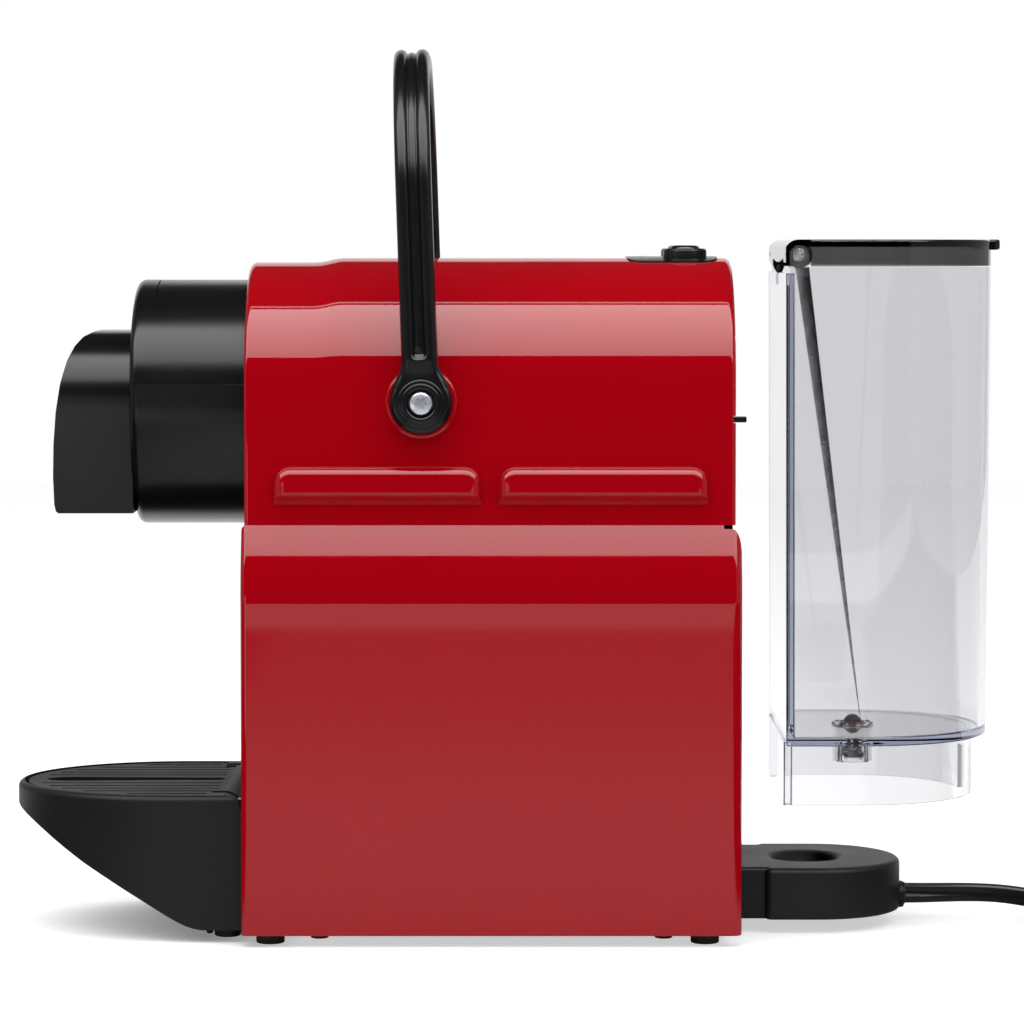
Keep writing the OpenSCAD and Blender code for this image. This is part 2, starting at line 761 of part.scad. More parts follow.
// Plate that the capsule is pressed against, with its grid of small points
module outlet_plate() {
    color("silver") difference() {
        union() {
            x_cylinder(outlet_x - 2.5, outlet_x, 0, head_z, 16);
            for (iy = [-3:3], iz = [-3:3]) if (iy * iy + iz * iz <= 10)
                translate([outlet_x - 0.5, iy * 3.4, head_z + iz * 3.4]) rotate([45, 0, 0])
                    translate([0, -0.9, -0.9]) cube([1.2, 1.8, 1.8]);
        }
        for (iy = [-2:3], iz = [-2:3])
            x_cylinder(outlet_x - 3, outlet_x + 1, (iy - 0.5) * 3.4, head_z + (iz - 0.5) * 3.4, 0.4);
    }
}

// Side plate of the brewing unit, with the shaft's bearing and the slot for a cage pin
module brew_frame() {
    x1 = bay_wall_x + 8;
    reach = pin_r + slide_fit;
    back = cage_stroke - cage_back;
    color("silver") along_y(frame_y0, frame_y0 + frame_t) difference() {
        round_rect(head_x0 + 3, x1, frame_z0, frame_z1, 4);
        translate([pivot_x, pivot_z]) circle(shaft_d / 2 + run_fit);
        translate([pin_x - cage_back, pivot_z - reach]) square([cage_stroke, 2 * reach]);
        for (x = [pin_x - cage_back, pin_x + back]) translate([x, pivot_z]) circle(reach);
        for (x = [x1 - 12, x1 - 26]) translate([x, pivot_z + 11]) circle(3);
    }
}

module brew_frame_left() {
    brew_frame();
}

module brew_frame_right() {
    mirror([0, 1, 0]) brew_frame();
}

// Sloping trough that leads used capsules back into the container
module capsule_chute() {
    t = 1.5;
    x0 = outlet_x + 1;
    x1 = body_x0 + 14;
    z0 = head_z - 20;
    z1 = head_z - head_d / 2 + 6;
    z2 = bay_top - 8;
    w = frame_y0 - 0.2;
    color("dimgray") {
        along_y(-w, w) polygon([[x0, z0], [x1, z1], [x1 + 3, z2], [x1 + 3 + t, z2], [x1 + t, z1 + t],
            [x0, z0 + t]]);
        both_sides() along_y(w - t, w) polygon([[x0, z0], [x1, z1], [x1 + 3, z2], [x1 + 34, z2],
            [x1 + 34, frame_z0], [x0, frame_z0]]);
    }
}

// Cup that closes round the capsule; its arms carry the pins of the cam drive
module capsule_cage() {
    arm_y = cage_r - 2.7;
    color("silver") difference() {
        union() {
            x_cylinder(cage_x0, cage_x0 + cage_l, 0, head_z, cage_r);
            both_sides() box(cage_x0 + cage_l - 6, pin_x + 5, arm_y, arm_y + 2.7, pivot_z - 5,
                pivot_z + 5);
        }
        translate([cage_x0 - 1, 0, head_z]) rotate([0, 90, 0])
            cylinder(h = cage_l - 2, r1 = cage_bore_r, r2 = cage_bore_r - 3);
        x_cylinder(cage_x0 + cage_l - 4, cage_x0 + cage_l + 1, 0, head_z, 2);
        both_sides() y_cylinder(0, cage_r + 1, pin_x, pivot_z, pin_r);
    }
}

module cage_seal() {
    color("black") difference() {
        x_cylinder(cage_x0 - 0.2, cage_x0, 0, head_z, cage_r - 0.2);
        x_cylinder(cage_x0 - 1, cage_x0 + 1, 0, head_z, cage_bore_r + 0.2);
    }
}

// Three blades at the bottom of the cage that open the capsule
module piercing_blades() {
    x1 = cage_x0 + cage_l - 3;
    color("silver") for (a = [90, 210, 330]) rotate_about_head(a)
        along_y(-0.6, 0.6) polygon([[x1, head_z + 4], [x1 - 5, head_z + 6.5], [x1, head_z + 9]]);
}

module rotate_about_head(a) {
    translate([0, 0, head_z]) rotate([a, 0, 0]) translate([0, 0, -head_z]) children();
}

// Pins of the cage: each runs in a cam's spiral slot and in a straight slot of the frame
module cage_pins() {
    color("silver") both_sides() y_cylinder(cam_y - 0.6, frame_y0 + frame_t + 0.8, pin_x, pivot_z,
        pin_r - eps);
}

// ---------- lever ----------

// Outline of the arch in (y, z) about the pivot, g inside its outer edge
module arch_outline(g) {
    hw = lever_w / 2 - g;
    r = arch_r - g;
    zc = lever_reach - arch_r;
    translate([-hw, 0]) square([2 * hw, zc]);
    translate([-(hw - r), 0]) square([2 * (hw - r), zc + r]);
    for (s = [-1, 1]) translate([s * (hw - r), zc]) circle(r);
}

// Arch-shaped lever with a groove along its outer face
module lever_handle() {
    groove_w = 3.6;
    groove_z = boss_r + 5.4;
    y1 = lever_w / 2;
    color("dimgray") translate([pivot_x, 0, pivot_z]) rotate([0, -lever_lean, 0]) difference() {
        union() {
            along_x(-arm_w / 2, arm_w / 2) difference() {
                arch_outline(0);
                translate([0, -eps]) arch_outline(arm_t);
            }
            both_sides() y_cylinder(y1 - arm_t, y1, 0, 0, boss_r);
        }
        difference() {
            along_x(-groove_w / 2, groove_w / 2) difference() {
                translate([0, groove_z]) square([lever_w + 2, 400], center = true);
                arch_outline(1.4);
            }
            box(-20, 20, -lever_w, lever_w, -200, groove_z);
        }
        // Recess and bore for the screw, ring grooves and the square of the shaft
        both_sides() {
            y_cylinder(y1 - 2.6, y1 + 1, 0, 0, 4.6);
            y_cylinder(y1 - arm_t - 1, y1, 0, 0, 1.7);
            box(-3, 3, y1 - arm_t - 1, y1 - arm_t + 2.2, -3, 3);
            difference() {
                y_cylinder(y1 - 0.6, y1 + 1, 0, 0, 7.5);
                y_cylinder(y1 - 2, y1 + 2, 0, 0, 6.4);
            }
        }
    }
}

// Shaft across the machine with square ends for the lever's arms
module lever_shaft() {
    y1 = lever_w / 2 - arm_t;
    color("silver") translate([pivot_x, 0, pivot_z]) rotate([0, -lever_lean, 0]) difference() {
        union() {
            y_cylinder(-y1, y1, 0, 0, shaft_d / 2);
            box(-3, 3, -y1 - 2.2, y1 + 2.2, -3, 3);
        }
        both_sides() y_cylinder(y1 - 10, y1 + 4, 0, 0, 1.45);
    }
}

function spiral_r(a) = cam_rest_r - cam_k * (a - 180);
function polar(r, a) = [r * cos(a), r * sin(a)];
// Unit normal of the spiral, away from the shaft
function spiral_normal(a) = let (t = polar(-cam_k * 180 / PI, a) + polar(spiral_r(a), a + 90))
    [t[1], -t[0]] / norm(t);

// Point beside the spiral, at the given distance along its normal
function spiral_side(a, d) = polar(spiral_r(a), a) + d * spiral_normal(a);

// Round end of a band along the spiral: half a turn that starts at the given side of its middle
function spiral_end(a, d) = let (n = spiral_normal(a), start = atan2(n[1], n[0]) + (d < 0 ? 180 : 0))
    [for (i = [1:cam_end_steps - 1]) polar(spiral_r(a), a) + polar(abs(d), start + 180 * i / cam_end_steps)];

// Outline of a band of the given half width along the spiral, with round ends
function spiral_band(d) = concat(
    [for (i = [0:cam_steps]) spiral_side(cam_a0 + lever_swing * i / cam_steps, d)],
    spiral_end(cam_a0 + lever_swing, d),
    [for (i = [cam_steps:-1:0]) spiral_side(cam_a0 + lever_swing * i / cam_steps, -d)],
    spiral_end(cam_a0, -d));

// Cam plate: its spiral slot drives the cage by the same distance for each degree of the lever
module cam_plate() {
    difference() {
        union() {
            circle(shaft_d / 2 + 4);
            polygon(concat([[0, 0]], [for (i = [0:cam_steps])
                spiral_side(cam_a0 + lever_swing * i / cam_steps, 0)]));
            polygon(spiral_band(pin_r + cam_fit + cam_margin));
        }
        polygon(spiral_band(pin_r + cam_fit));
        circle(shaft_d / 2);
    }
}

module cam_plates() {
    color("silver") both_sides() translate([pivot_x, 0, pivot_z])
        along_y(cam_y, cam_y + cam_t) cam_plate();
}

module lever_screws() {
    y1 = lever_w / 2;
    color("lightgray") translate([pivot_x, 0, pivot_z]) both_sides() difference() {
        union() {
            y_cylinder(y1 - 2.6, y1 - 0.5, 0, 0, 3.7);
            y_cylinder(y1 - arm_t - 8, y1 - 2.6, 0, 0, 1.4);
        }
        // Six-lobed drive
        for (a = [0:60:300]) translate([1.1 * cos(a), y1 - 1.8, 1.1 * sin(a)]) rotate([-90, 0, 0])
            cylinder(h = 3, r = 0.6);
    }
}

// ---------- water circuit and electrics ----------

// Cast heater with its water connections
module thermoblock() {
    b = block;
    color("silver") {
        box(block_x0, block_x0 + b[0], -b[1] / 2 + 3, b[1] / 2 - 3, block_z0, block_z0 + b[2]);
        for (i = [0:4]) box(block_x0 + 3 + 8.5 * i, block_x0 + 7 + 8.5 * i, -b[1] / 2, b[1] / 2,
            block_z0 + 2, block_z0 + b[2] - 2);
        x_cylinder(block_x0 + b[0] - 1, block_x0 + b[0] + 7, -8, block_z0 + 10, 3);
        x_cylinder(block_x0 + 10, block_x0 + 16, -8, block_z0 + b[2] + 3, 3);
        box(block_x0 + 7, block_x0 + 15, -12, -4, block_z0 + b[2] - 1, block_z0 + b[2] + 3);
        // Foot that rests on the bay wall's ledge
        box(block_x0 - 8, block_x0 + 6, -b[1] / 2 + 8, b[1] / 2 - 8, block_z0 - 4, block_z0 + 1);
    }
}

module thermostat() {
    color("gainsboro") translate([block_x0 + 30, 6, block_z0 + block[2]]) {
        cylinder(h = 5, r = 8);
        for (s = [-1, 1]) translate([s * 4 - 0.4, -1.5, 4]) cube([0.8, 3, 7]);
    }
}

module thermal_fuse() {
    color("gold") {
        x_cylinder(block_x0 + 16, block_x0 + 32, -9, block_z0 + block[2] + 2.2, 2.2);
        x_cylinder(block_x0 + 31, block_x0 + 38, -9, block_z0 + block[2] + 2.2, 0.6);
    }
}

// Vibratory pump: coil in its steel yoke, with the inlet and outlet spigots
module pump() {
    x0 = pump_x0;
    z = pump_z;
    color("darkslategray") difference() {
        union() {
            box(x0 + 9, x0 + 41, -17, 17, z - 16, z + 16);
            x_cylinder(x0 + 3, x0 + 47, 0, z, 12);
            x_cylinder(x0 - 3, x0 + 4, 0, z, 4);
            x_cylinder(x0 + 46, x0 + 54, 0, z, 3);
        }
        for (s = [-1, 1]) box(x0 + 14, x0 + 36, s * 12 - 3, s * 12 + 3, z + 13, z + 20);
    }
}

// Rubber cradles that keep the pump off the base plate
module pump_mounts() {
    color("black") for (x = [pump_x0 + 10, pump_x0 + 26])
        box(x, x + 6, -15, 15, floor_z, pump_z - 16);
}

module flow_meter() {
    z = floor_z + 9;
    color("ivory") {
        translate([meter_x, meter_y, floor_z]) cylinder(h = 18, r = 11);
        x_cylinder(meter_x - 17, meter_x, meter_y, z, 3);
        y_cylinder(meter_y - 16, meter_y, meter_x + 2, z, 3);
    }
}

// Cuts the corners of a route once
function cut_corners(p) = concat([p[0]], [for (i = [0:len(p) - 2]) each [0.75 * p[i] + 0.25 * p[i + 1],
    0.25 * p[i] + 0.75 * p[i + 1]]], [p[len(p) - 1]]);

// A round hose along a route with softened corners
module hose(points, r) {
    sweep(cut_corners(cut_corners(points)), [for (a = [0:45:315]) [r * cos(a), r * sin(a)]],
        [0.1, 1, 0.2]);
}

module inlet_hose() {
    z = floor_z + 9;
    y = meter_y - 16;
    x = neck_x0 - 6;
    color("whitesmoke") hose([[meter_x + 2, y, z], [meter_x + 3, y - 2, z], [x, y - 2.5, z],
        [x, 3, puck_z0 + 5], [x + 2, 0, puck_z0 + 4.4], [neck_x0, 0, puck_z0 + 4.4]], 1.8);
}

module pump_hose() {
    z = floor_z + 9;
    color("whitesmoke") hose([[meter_x - 17, meter_y, z], [pump_x0 - 3, meter_y, z + 6],
        [pump_x0 - 6, 20, pump_z], [pump_x0 - 6, 0, pump_z], [pump_x0 - 3, 0, pump_z]], 2);
}

module pressure_hose() {
    x = block_x0 + block[0] + 7;
    color("whitesmoke") hose([[pump_x0 + 54, 0, pump_z], [pump_x0 + 58, 0, pump_z],
        [pump_x0 + 58, -8, block_z0 + 10], [x, -8, block_z0 + 10]], 2);
}

// Hose from the heater over the shaft to the cage; it flexes as the cage moves
module brew_hose() {
    z = block_z0 + block[2] + 3;
    cage_x1 = cage_x0 + cage_l;
    color("whitesmoke") hose([[block_x0 + 10, -8, z], [block_x0 - 6, -8, z], [pivot_x + 6, 0, z - 2],
        [pivot_x - 20, 0, z - 2], [cage_x1 + 10, 0, head_z], [cage_x1 - 4, 0, head_z]], 1.9);
}

module control_board() {
    color("darkgreen") difference() {
        union() {
            box(panel_x0 - 4, cap_x + 8, -21, 21, board_z, board_z + 1.6);
            both_sides() box(panel_x0 - 2, panel_x0 + 4, 12, 18, board_z + 1, top_z - wall - 2.2);
        }
        for (s = [-1, 1]) translate([cap_x + 4, s * 17, board_z - 1]) cylinder(h = 4, r = 1.6);
    }
}

module button_switches() {
    color("dimgray") for (s = [-1, 1]) translate([cap_x, s * cap_pitch / 2, board_z + 1.6]) {
        translate([-3, -3, 0]) cube([6, 6, 2.4]);
        cylinder(h = switch_z - board_z - 1.6, r = 1.6);
    }
}

module button_cap(s) {
    color("black") translate([cap_x, s * cap_pitch / 2, 0]) {
        difference() {
            translate([0, 0, top_z - 5]) cylinder(h = cap_z - top_z + 5, r = cap_r);
            translate([0, 0, cap_z + 28.6]) sphere(29);
        }
        translate([0, 0, switch_z + cap_travel + 0.1]) cylinder(h = 6, r = 2);
    }
}

module espresso_button() {
    button_cap(-1);
}

module lungo_button() {
    button_cap(1);
}

// ---------- drawer and drip tray ----------

// Sliding carrier: the drawer front, the floor under the container and the tray's hinge lugs
module drawer_carrier() {
    x0 = drawer_x0;
    hw = drawer_w / 2 - 2;
    color("dimgray") difference() {
        union() {
            box(x0, x0 + drawer_front_t, -drawer_w / 2, drawer_w / 2, carrier_z - 1, drawer_top);
            box(x0 + 1, bin_x1 + 2, -hw, hw, carrier_z, carrier_z + carrier_t);
            both_sides() box(x0 + 1, bin_x1 + 2, hw - 2, hw, carrier_z, carrier_z + 9);
            box(bin_x1 + 0.3, bin_x1 + 2, -hw, hw, carrier_z, carrier_z + 9);
            // Runners on the base plate
            both_sides() box(x0 + 4, bin_x1, hw - 8, hw - 5, floor_z, carrier_z + 1);
            // Hinge lugs
            both_sides() along_y(lug_y, lug_y + lug_t) {
                translate([hinge_x, hinge_z]) circle(4.2);
                polygon([[hinge_x, hinge_z - 4.2], [hinge_x, hinge_z + 4.2], [x0 + 1, hinge_z + 4.2],
                    [x0 + 1, hinge_z - 14]]);
            }
        }
        y_cylinder(-50, 50, hinge_x, hinge_z, hinge_pin_r + run_fit);
    }
}

// Open bin for used capsules, with a low rib pattern on its floor
module capsule_container() {
    x0 = bin_x0;
    x1 = bin_x1;
    hw = bin_w / 2;
    z1 = bin_z0 + bin_h;
    color("black") {
        difference() {
            along_z(bin_z0, z1) round_rect(x0, x1, -hw, hw, 5);
            along_z(bin_z0 + bin_wall, z1 + 1) round_rect(x0 + bin_wall, x1 - bin_wall,
                -hw + bin_wall, hw - bin_wall, 5 - bin_wall);
        }
        for (i = [1:5]) box(x0 + 1, x1 - 1, -hw + i * bin_w / 6 - 0.7, -hw + i * bin_w / 6 + 0.7,
            bin_z0 + 1, bin_z0 + bin_wall + 1.4);
    }
}

// Plan outline of the tray: straight sides and a boat-shaped tip, g inside the rim
module tray_plan(g) {
    xc = tray_x0 + tray_a;
    n = 40;
    a = tray_a - g;
    b = tray_b - g;
    translate([xc, -b]) square([tray_x1 - g - xc, 2 * b]);
    polygon([for (i = [0:n]) let (t = 90 + 180 * i / n) [xc + a * cos(t), b * sin(t)]]);
}

// Side outline of the tray: level band, then the keel line down to the rear
module tray_side(g) {
    x1 = tray_x1 - g;
    z_band = tray_z - tray_band + g;
    keel_x = tray_x1 - 16;
    difference() {
        union() {
            polygon([[tray_x0 - 1, tray_z + 1], [tray_x0 - 1, z_band], [tray_x0 + g, z_band],
                [tray_x0 + 3 + g, z_band - 3], [keel_x, tray_keel_z + g], [x1, tray_keel_z + g],
                [x1, hinge_z], [hinge_x, hinge_z], [hinge_x, tray_z + 1]]);
            if (g == 0) intersection() {
                translate([hinge_x, hinge_z]) circle(tray_hinge_r);
                translate([hinge_x, hinge_z]) square(20);
            }
        }
        translate([tray_x0 - 5, tray_z]) square([tray_l + 10, 9]);
    }
}

// Boat-shaped drip tray that folds up about its rear edge
module drip_tray() {
    color("dimgray") difference() {
        intersection() {
            along_z(0, tray_z) tray_plan(0);
            along_y(-60, 60) tray_side(0);
        }
        intersection() {
            along_z(0, tray_z + 1) tray_plan(tray_wall);
            along_y(-60, 60) difference() {
                tray_side(tray_wall);
                translate([hinge_x - 6, 0]) square([40, tray_z]);
            }
        }
        // Seat of the grid
        intersection() {
            along_z(grid_z0, tray_z + 1) tray_plan(grid_inset - 0.3);
            box(tray_x0, hinge_x - 4, -60, 60, 0, tray_z + 2);
        }
        // Clearance round the hinge lugs and the bore of the pin
        both_sides() box(hinge_x - 5.5, tray_x1 + 1, lug_y - 0.5, lug_y + lug_t + 0.5, -1, tray_z + 1);
        y_cylinder(-lug_y - lug_t - 5, lug_y + lug_t + 5, hinge_x, hinge_z, hinge_pin_r);
    }
}

module tray_hinge_pin() {
    color("silver") y_cylinder(-lug_y - lug_t - 5, lug_y + lug_t + 5, hinge_x, hinge_z,
        hinge_pin_r - eps);
}

// Grid with one wide slot and narrow slots on both sides that follow the outline
module drip_grid() {
    x1 = hinge_x - 4.2;
    xc = tray_x0 + tray_a;
    inset = grid_inset + 4;
    ys = [for (i = [1:5]) 3 + grid_pitch * (i + 0.1)];
    color("dimgray") difference() {
        intersection() {
            along_z(grid_z0, grid_z0 + grid_t) tray_plan(grid_inset);
            box(tray_x0, x1, -60, 60, 0, tray_z + 2);
        }
        box(tray_x0 + inset + 1, x1 - 3, -1.5, 1.5, 0, tray_z + 2);
        for (y = ys, s = [-1, 1]) {
            x0 = xc - (tray_a - inset) * sqrt(1 - pow(y / (tray_b - inset), 2));
            box(x0, x1 - 3, s * y - grid_slot_w / 2, s * y + grid_slot_w / 2, 0, tray_z + 2);
        }
    }
}

// ---------- water tank ----------

// D-shaped outline with half width b and its flat front at x0
module d_plan(x0, b) {
    translate([x0, -b]) square([tank_xc - x0, 2 * b]);
    intersection() {
        translate([tank_xc, 0]) circle(b);
        translate([tank_xc - 1, -b]) square([b + 1, 2 * b]);
    }
}

// Outline of the tank, g inside its outer face
module tank_plan(g) {
    d_plan(tank_x0 + g, tank_b - g);
}

// Clear tank with its skirt, its floor and the ears of the lid's hinge
module water_tank() {
    z0 = tank_z0;
    color("lightsteelblue", 0.6) {
        difference() {
            union() {
                along_z(z0, tank_z1) tank_plan(0);
                along_z(z0 - skirt_h, z0 + 1) d_plan(tank_x0, tank_b - skirt_in);
            }
            along_z(z0 + tank_wall, tank_z1 + 1) tank_plan(tank_wall);
            along_z(z0 - skirt_h - 1, z0) d_plan(tank_x0 + tank_wall, tank_b - skirt_in - tank_wall);
            // Passage for the neck of the tank base, and notch for the power cord
            box(tank_x0 - 1, tank_x0 + tank_wall + 1, -puck_r - 1, puck_r + 1, z0 - skirt_h - 1, z0);
            box(tank_xc + 20, tank_xc + tank_b, -5, 5, z0 - skirt_h - 1, z0 - skirt_h + 15.5);
            // Lowered front rim with the deeper notch of the lid's claw
            box(tank_x0 - 1, tank_x0 + tank_wall + 0.5, -tank_b, tank_b, tank_z1 - 2, tank_z1 + 1);
            box(tank_x0 - 1, tank_x0 + tank_wall + 0.5, -claw_w / 2 - 1, claw_w / 2 + 1,
                tank_z1 - 6.2, tank_z1 + 1);
            translate([valve_x, 0, z0 - 1]) cylinder(h = tank_wall + 2, r = 3.4);
        }
        both_sides() {
            along_y(tank_b - ear_t, tank_b) {
                translate([lid_pin_x, lid_pin_z]) circle(lid_pin_r + 1.2);
                translate([lid_pin_x - lid_pin_r - 1.2, tank_z1 - 3])
                    square([2 * lid_pin_r + 2.4, lid_pin_z - tank_z1 + 3]);
            }
            y_cylinder(lid_boss_y0, tank_b - 1, lid_pin_x, lid_pin_z, lid_pin_r);
        }
    }
}

// Smoked lid that swings up about pins at its front edge
module tank_lid() {
    r = lid_boss_r;
    color("dimgray", 0.8) difference() {
        union() {
            intersection() {
                difference() {
                    along_z(lid_z0, lid_z1) tank_plan(0);
                    along_z(lid_z0 - 1, lid_z1 - lid_t) tank_plan(lid_t);
                }
                // Front edge rounded about the pins, so that it clears the housing as it swings
                along_y(-tank_b, tank_b) {
                    translate([lid_pin_x, lid_pin_z]) circle(lid_z1 - lid_pin_z);
                    translate([lid_pin_x, lid_z0]) square([2 * tank_b + tank_straight, lid_h]);
                }
            }
            both_sides() y_cylinder(lid_boss_y0, lid_boss_y1, lid_pin_x, lid_pin_z, r);
            // Finger tab at the rear, claw at the front
            box(tank_xc + tank_b - 6, tank_xc + tank_b + 2.9, -12, 12, lid_z1 - 3.5, lid_z1);
            along_y(-claw_w / 2, claw_w / 2) polygon([[lid_pin_x - 6.3, lid_pin_z - 7],
                [lid_pin_x - 4.3, lid_pin_z - 7], [lid_pin_x - 1.5, lid_pin_z],
                [lid_pin_x - 1.5, lid_pin_z + 3], [lid_pin_x - 4, lid_pin_z + 3],
                [lid_pin_x - 6.3, lid_pin_z - 0.9]]);
        }
        both_sides() y_cylinder(lid_boss_y0 - 1, lid_boss_y1 + 1, lid_pin_x, lid_pin_z,
            lid_pin_r + run_fit);
        // Corners left open for the ears of the tank
        both_sides() box(tank_x0 - 1, lid_pin_x + lid_pin_r + 1.9, lid_boss_y1, tank_b + 1,
            lid_z0 - 1, lid_z1 + 1);
    }
}

// Clear finned guide of the tank's valve
module valve_guide() {
    z0 = tank_z0 - valve_l;
    color("lightsteelblue", 0.6) translate([valve_x, 0, 0]) difference() {
        union() {
            translate([0, 0, z0]) cylinder(h = valve_l, r = valve_r - 0.8);
            for (a = [0:45:315]) rotate(a) translate([0, -0.5, z0]) cube([valve_r, 1, valve_l]);
        }
        translate([0, 0, z0 - 1]) cylinder(h = valve_l + 2, r = 4.6);
    }
}

// Plunger of the valve: domed head above the floor, stem with a clip below
module valve_plunger() {
    z = tank_z0 + tank_wall;
    color("dimgray") translate([valve_x, 0, 0]) {
        intersection() {
            translate([0, 0, z + 1]) cylinder(h = 2.4, r = 3);
            translate([0, 0, z + 0.4]) sphere(3);
        }
        translate([0, 0, z + 1]) cylinder(h = 0.8, r = 3);
        translate([0, 0, tank_z0 - valve_l + 1.5]) cylinder(h = valve_l + tank_wall + 0.5, r = 1.4);
        translate([0, 0, tank_z0 - valve_l + 1.5]) cylinder(h = 1.4, r = 4.2);
    }
}

module valve_seal() {
    color("indianred") translate([valve_x, 0, tank_z0 + tank_wall]) difference() {
        cylinder(h = 1, r = 4.2);
        translate([0, 0, -1]) cylinder(h = 3, r = 1.4);
    }
}

module valve_spring() {
    z0 = tank_z0 - valve_l + 2.9;
    color("dimgray") translate([valve_x, 0, 0]) for (i = [0:3]) translate([0, 0, z0 + 0.5 + 1.6 * i])
        rotate_extrude() translate([3, 0]) circle(0.45, $fn = 16);
}

// ---------- power cord ----------

// Flat twin section, standing on edge
module lead(points, side) {
    sweep(points, [for (q = [[-0.5, -0.3], [-0.2, -0.5], [0.2, -0.5], [0.5, -0.3], [0.5, 0.3],
        [0.2, 0.5], [-0.2, 0.5], [-0.5, 0.3]]) [q[0] * cord_t, q[1] * cord_w]], side);
}

module power_cord() {
    color("black") lead(lead_points, [0, -1, 0]);
}

// Outer shape of the coiled part of the lead
module cord_coil() {
    color("black") translate([coil_c[0], coil_c[1], 0]) rotate_extrude()
        translate([coil_r - cord_t / 2 - 0.2, 0.1])
            square([cord_t + 0.4, coil_pitch * coil_turns + cord_w]);
}

module cord_tail() {
    color("black") lead(tail_points, [1, 0, 0]);
}

// Tapered sleeve that guards the lead where it leaves the tank base
module relief_cone(g) {
    translate([cord_exit_x - relief_l - g, 0, cord_z]) rotate([0, 90, 0])
        cylinder(h = relief_l + g, r1 = relief_r[0] + g, r2 = relief_r[1] + g);
}

module strain_relief() {
    color("black") relief_cone(0);
}

// Two-pin plug at the end of the lead
module power_plug() {
    color("black") translate([plug_at[0], plug_at[1], 0]) {
        along_z(0.5, 17.5) round_rect(-26, -8, -12.5, 12.5, 4);
        translate([-9, 0, 6.5]) rotate([0, 90, 0]) cylinder(h = 9, r1 = 6, r2 = 4);
        for (s = [-1, 1]) box(-43, -25, s * 6.35 - 0.75, s * 6.35 + 0.75, plug_at[2] - 3.2,
            plug_at[2] + 3.2);
    }
}

left_housing();
right_housing();
rear_panel();
control_panel();
drawer_bezel();
base_plate();
feet();
tank_base();
valve_socket_seal();
head_upper_cover();
head_lower_cover();
spout_cover();
coffee_spout();
outlet_plate();
brew_frame_left();
brew_frame_right();
capsule_chute();
capsule_cage();
cage_seal();
piercing_blades();
slot_shutter();
cage_pins();
lever_handle();
lever_shaft();
cam_plates();
lever_screws();
thermoblock();
thermostat();
thermal_fuse();
pump();
pump_mounts();
flow_meter();
inlet_hose();
pump_hose();
pressure_hose();
brew_hose();
control_board();
button_switches();
espresso_button();
lungo_button();
drawer_carrier();
capsule_container();
drip_tray();
tray_hinge_pin();
drip_grid();
water_tank();
tank_lid();
valve_guide();
valve_plunger();
valve_seal();
valve_spring();
housing_screws();
strain_relief();
power_cord();
cord_coil();
cord_tail();
power_plug();
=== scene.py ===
"""Looks of a compact capsule espresso machine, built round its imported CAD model.

The front of the machine faces -X and its lift-off water tank hovers behind it. Sizes are in
millimetres and are turned to metres where a mesh is made.
"""

from __future__ import annotations

import json
import logging
import math
from collections.abc import Callable, Sequence
from dataclasses import dataclass, field
from enum import Enum

import bpy
from mathutils import Matrix, Vector

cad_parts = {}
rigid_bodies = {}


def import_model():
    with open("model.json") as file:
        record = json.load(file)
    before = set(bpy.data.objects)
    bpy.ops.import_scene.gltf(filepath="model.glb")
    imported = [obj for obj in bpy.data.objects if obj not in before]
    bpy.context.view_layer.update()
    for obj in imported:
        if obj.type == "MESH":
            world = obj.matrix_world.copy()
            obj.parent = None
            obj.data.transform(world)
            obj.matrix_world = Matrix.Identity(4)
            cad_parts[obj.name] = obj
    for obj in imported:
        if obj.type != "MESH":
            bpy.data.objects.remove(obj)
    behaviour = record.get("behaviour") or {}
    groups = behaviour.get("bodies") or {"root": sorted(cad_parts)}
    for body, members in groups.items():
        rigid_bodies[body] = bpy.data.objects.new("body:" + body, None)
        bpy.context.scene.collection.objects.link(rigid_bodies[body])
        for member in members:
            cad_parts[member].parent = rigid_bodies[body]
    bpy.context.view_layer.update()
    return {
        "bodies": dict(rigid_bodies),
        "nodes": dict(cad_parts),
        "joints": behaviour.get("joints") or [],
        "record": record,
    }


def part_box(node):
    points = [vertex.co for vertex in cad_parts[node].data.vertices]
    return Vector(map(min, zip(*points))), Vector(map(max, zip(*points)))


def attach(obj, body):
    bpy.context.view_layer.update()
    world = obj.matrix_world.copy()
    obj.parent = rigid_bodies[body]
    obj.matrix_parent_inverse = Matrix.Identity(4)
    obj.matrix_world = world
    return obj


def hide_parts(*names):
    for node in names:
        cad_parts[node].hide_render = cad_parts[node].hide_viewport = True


LOG = logging.getLogger("espresso_machine")
MM = 0.001
Point = tuple[float, float]
Row = list[tuple[float, float, float]]


# ---------- tools of the bench ----------


class Axis(Enum):
    """Direction in which an outline is drawn out."""

    X = 0
    Y = 1
    Z = 2

    def at(self, u: float, v: float, w: float) -> Vector:
        """Point w along the axis and (u, v) across it, in metres.

        Args:
            u: First coordinate across the axis, in mm.
            v: Second coordinate across the axis, in mm.
            w: Coordinate along the axis, in mm.

        Returns:
            The point in metres.
        """
        triple = {Axis.X: (w, u, v), Axis.Y: (u, w, v), Axis.Z: (u, v, w)}[self]
        return Vector(triple) * MM


class Part(Enum):
    """What a selection picks from a mesh."""

    VERT = "vertices"
    EDGE = "edges"
    FACE = "polygons"


def hold(obj: bpy.types.Object) -> bpy.types.Object:
    """Makes one object the only one selected, and the active one."""
    if bpy.context.object and bpy.context.object.mode != "OBJECT":
        bpy.ops.object.mode_set(mode="OBJECT")
    bpy.ops.object.select_all(action="DESELECT")
    obj.select_set(True)
    bpy.context.view_layer.objects.active = obj
    return obj


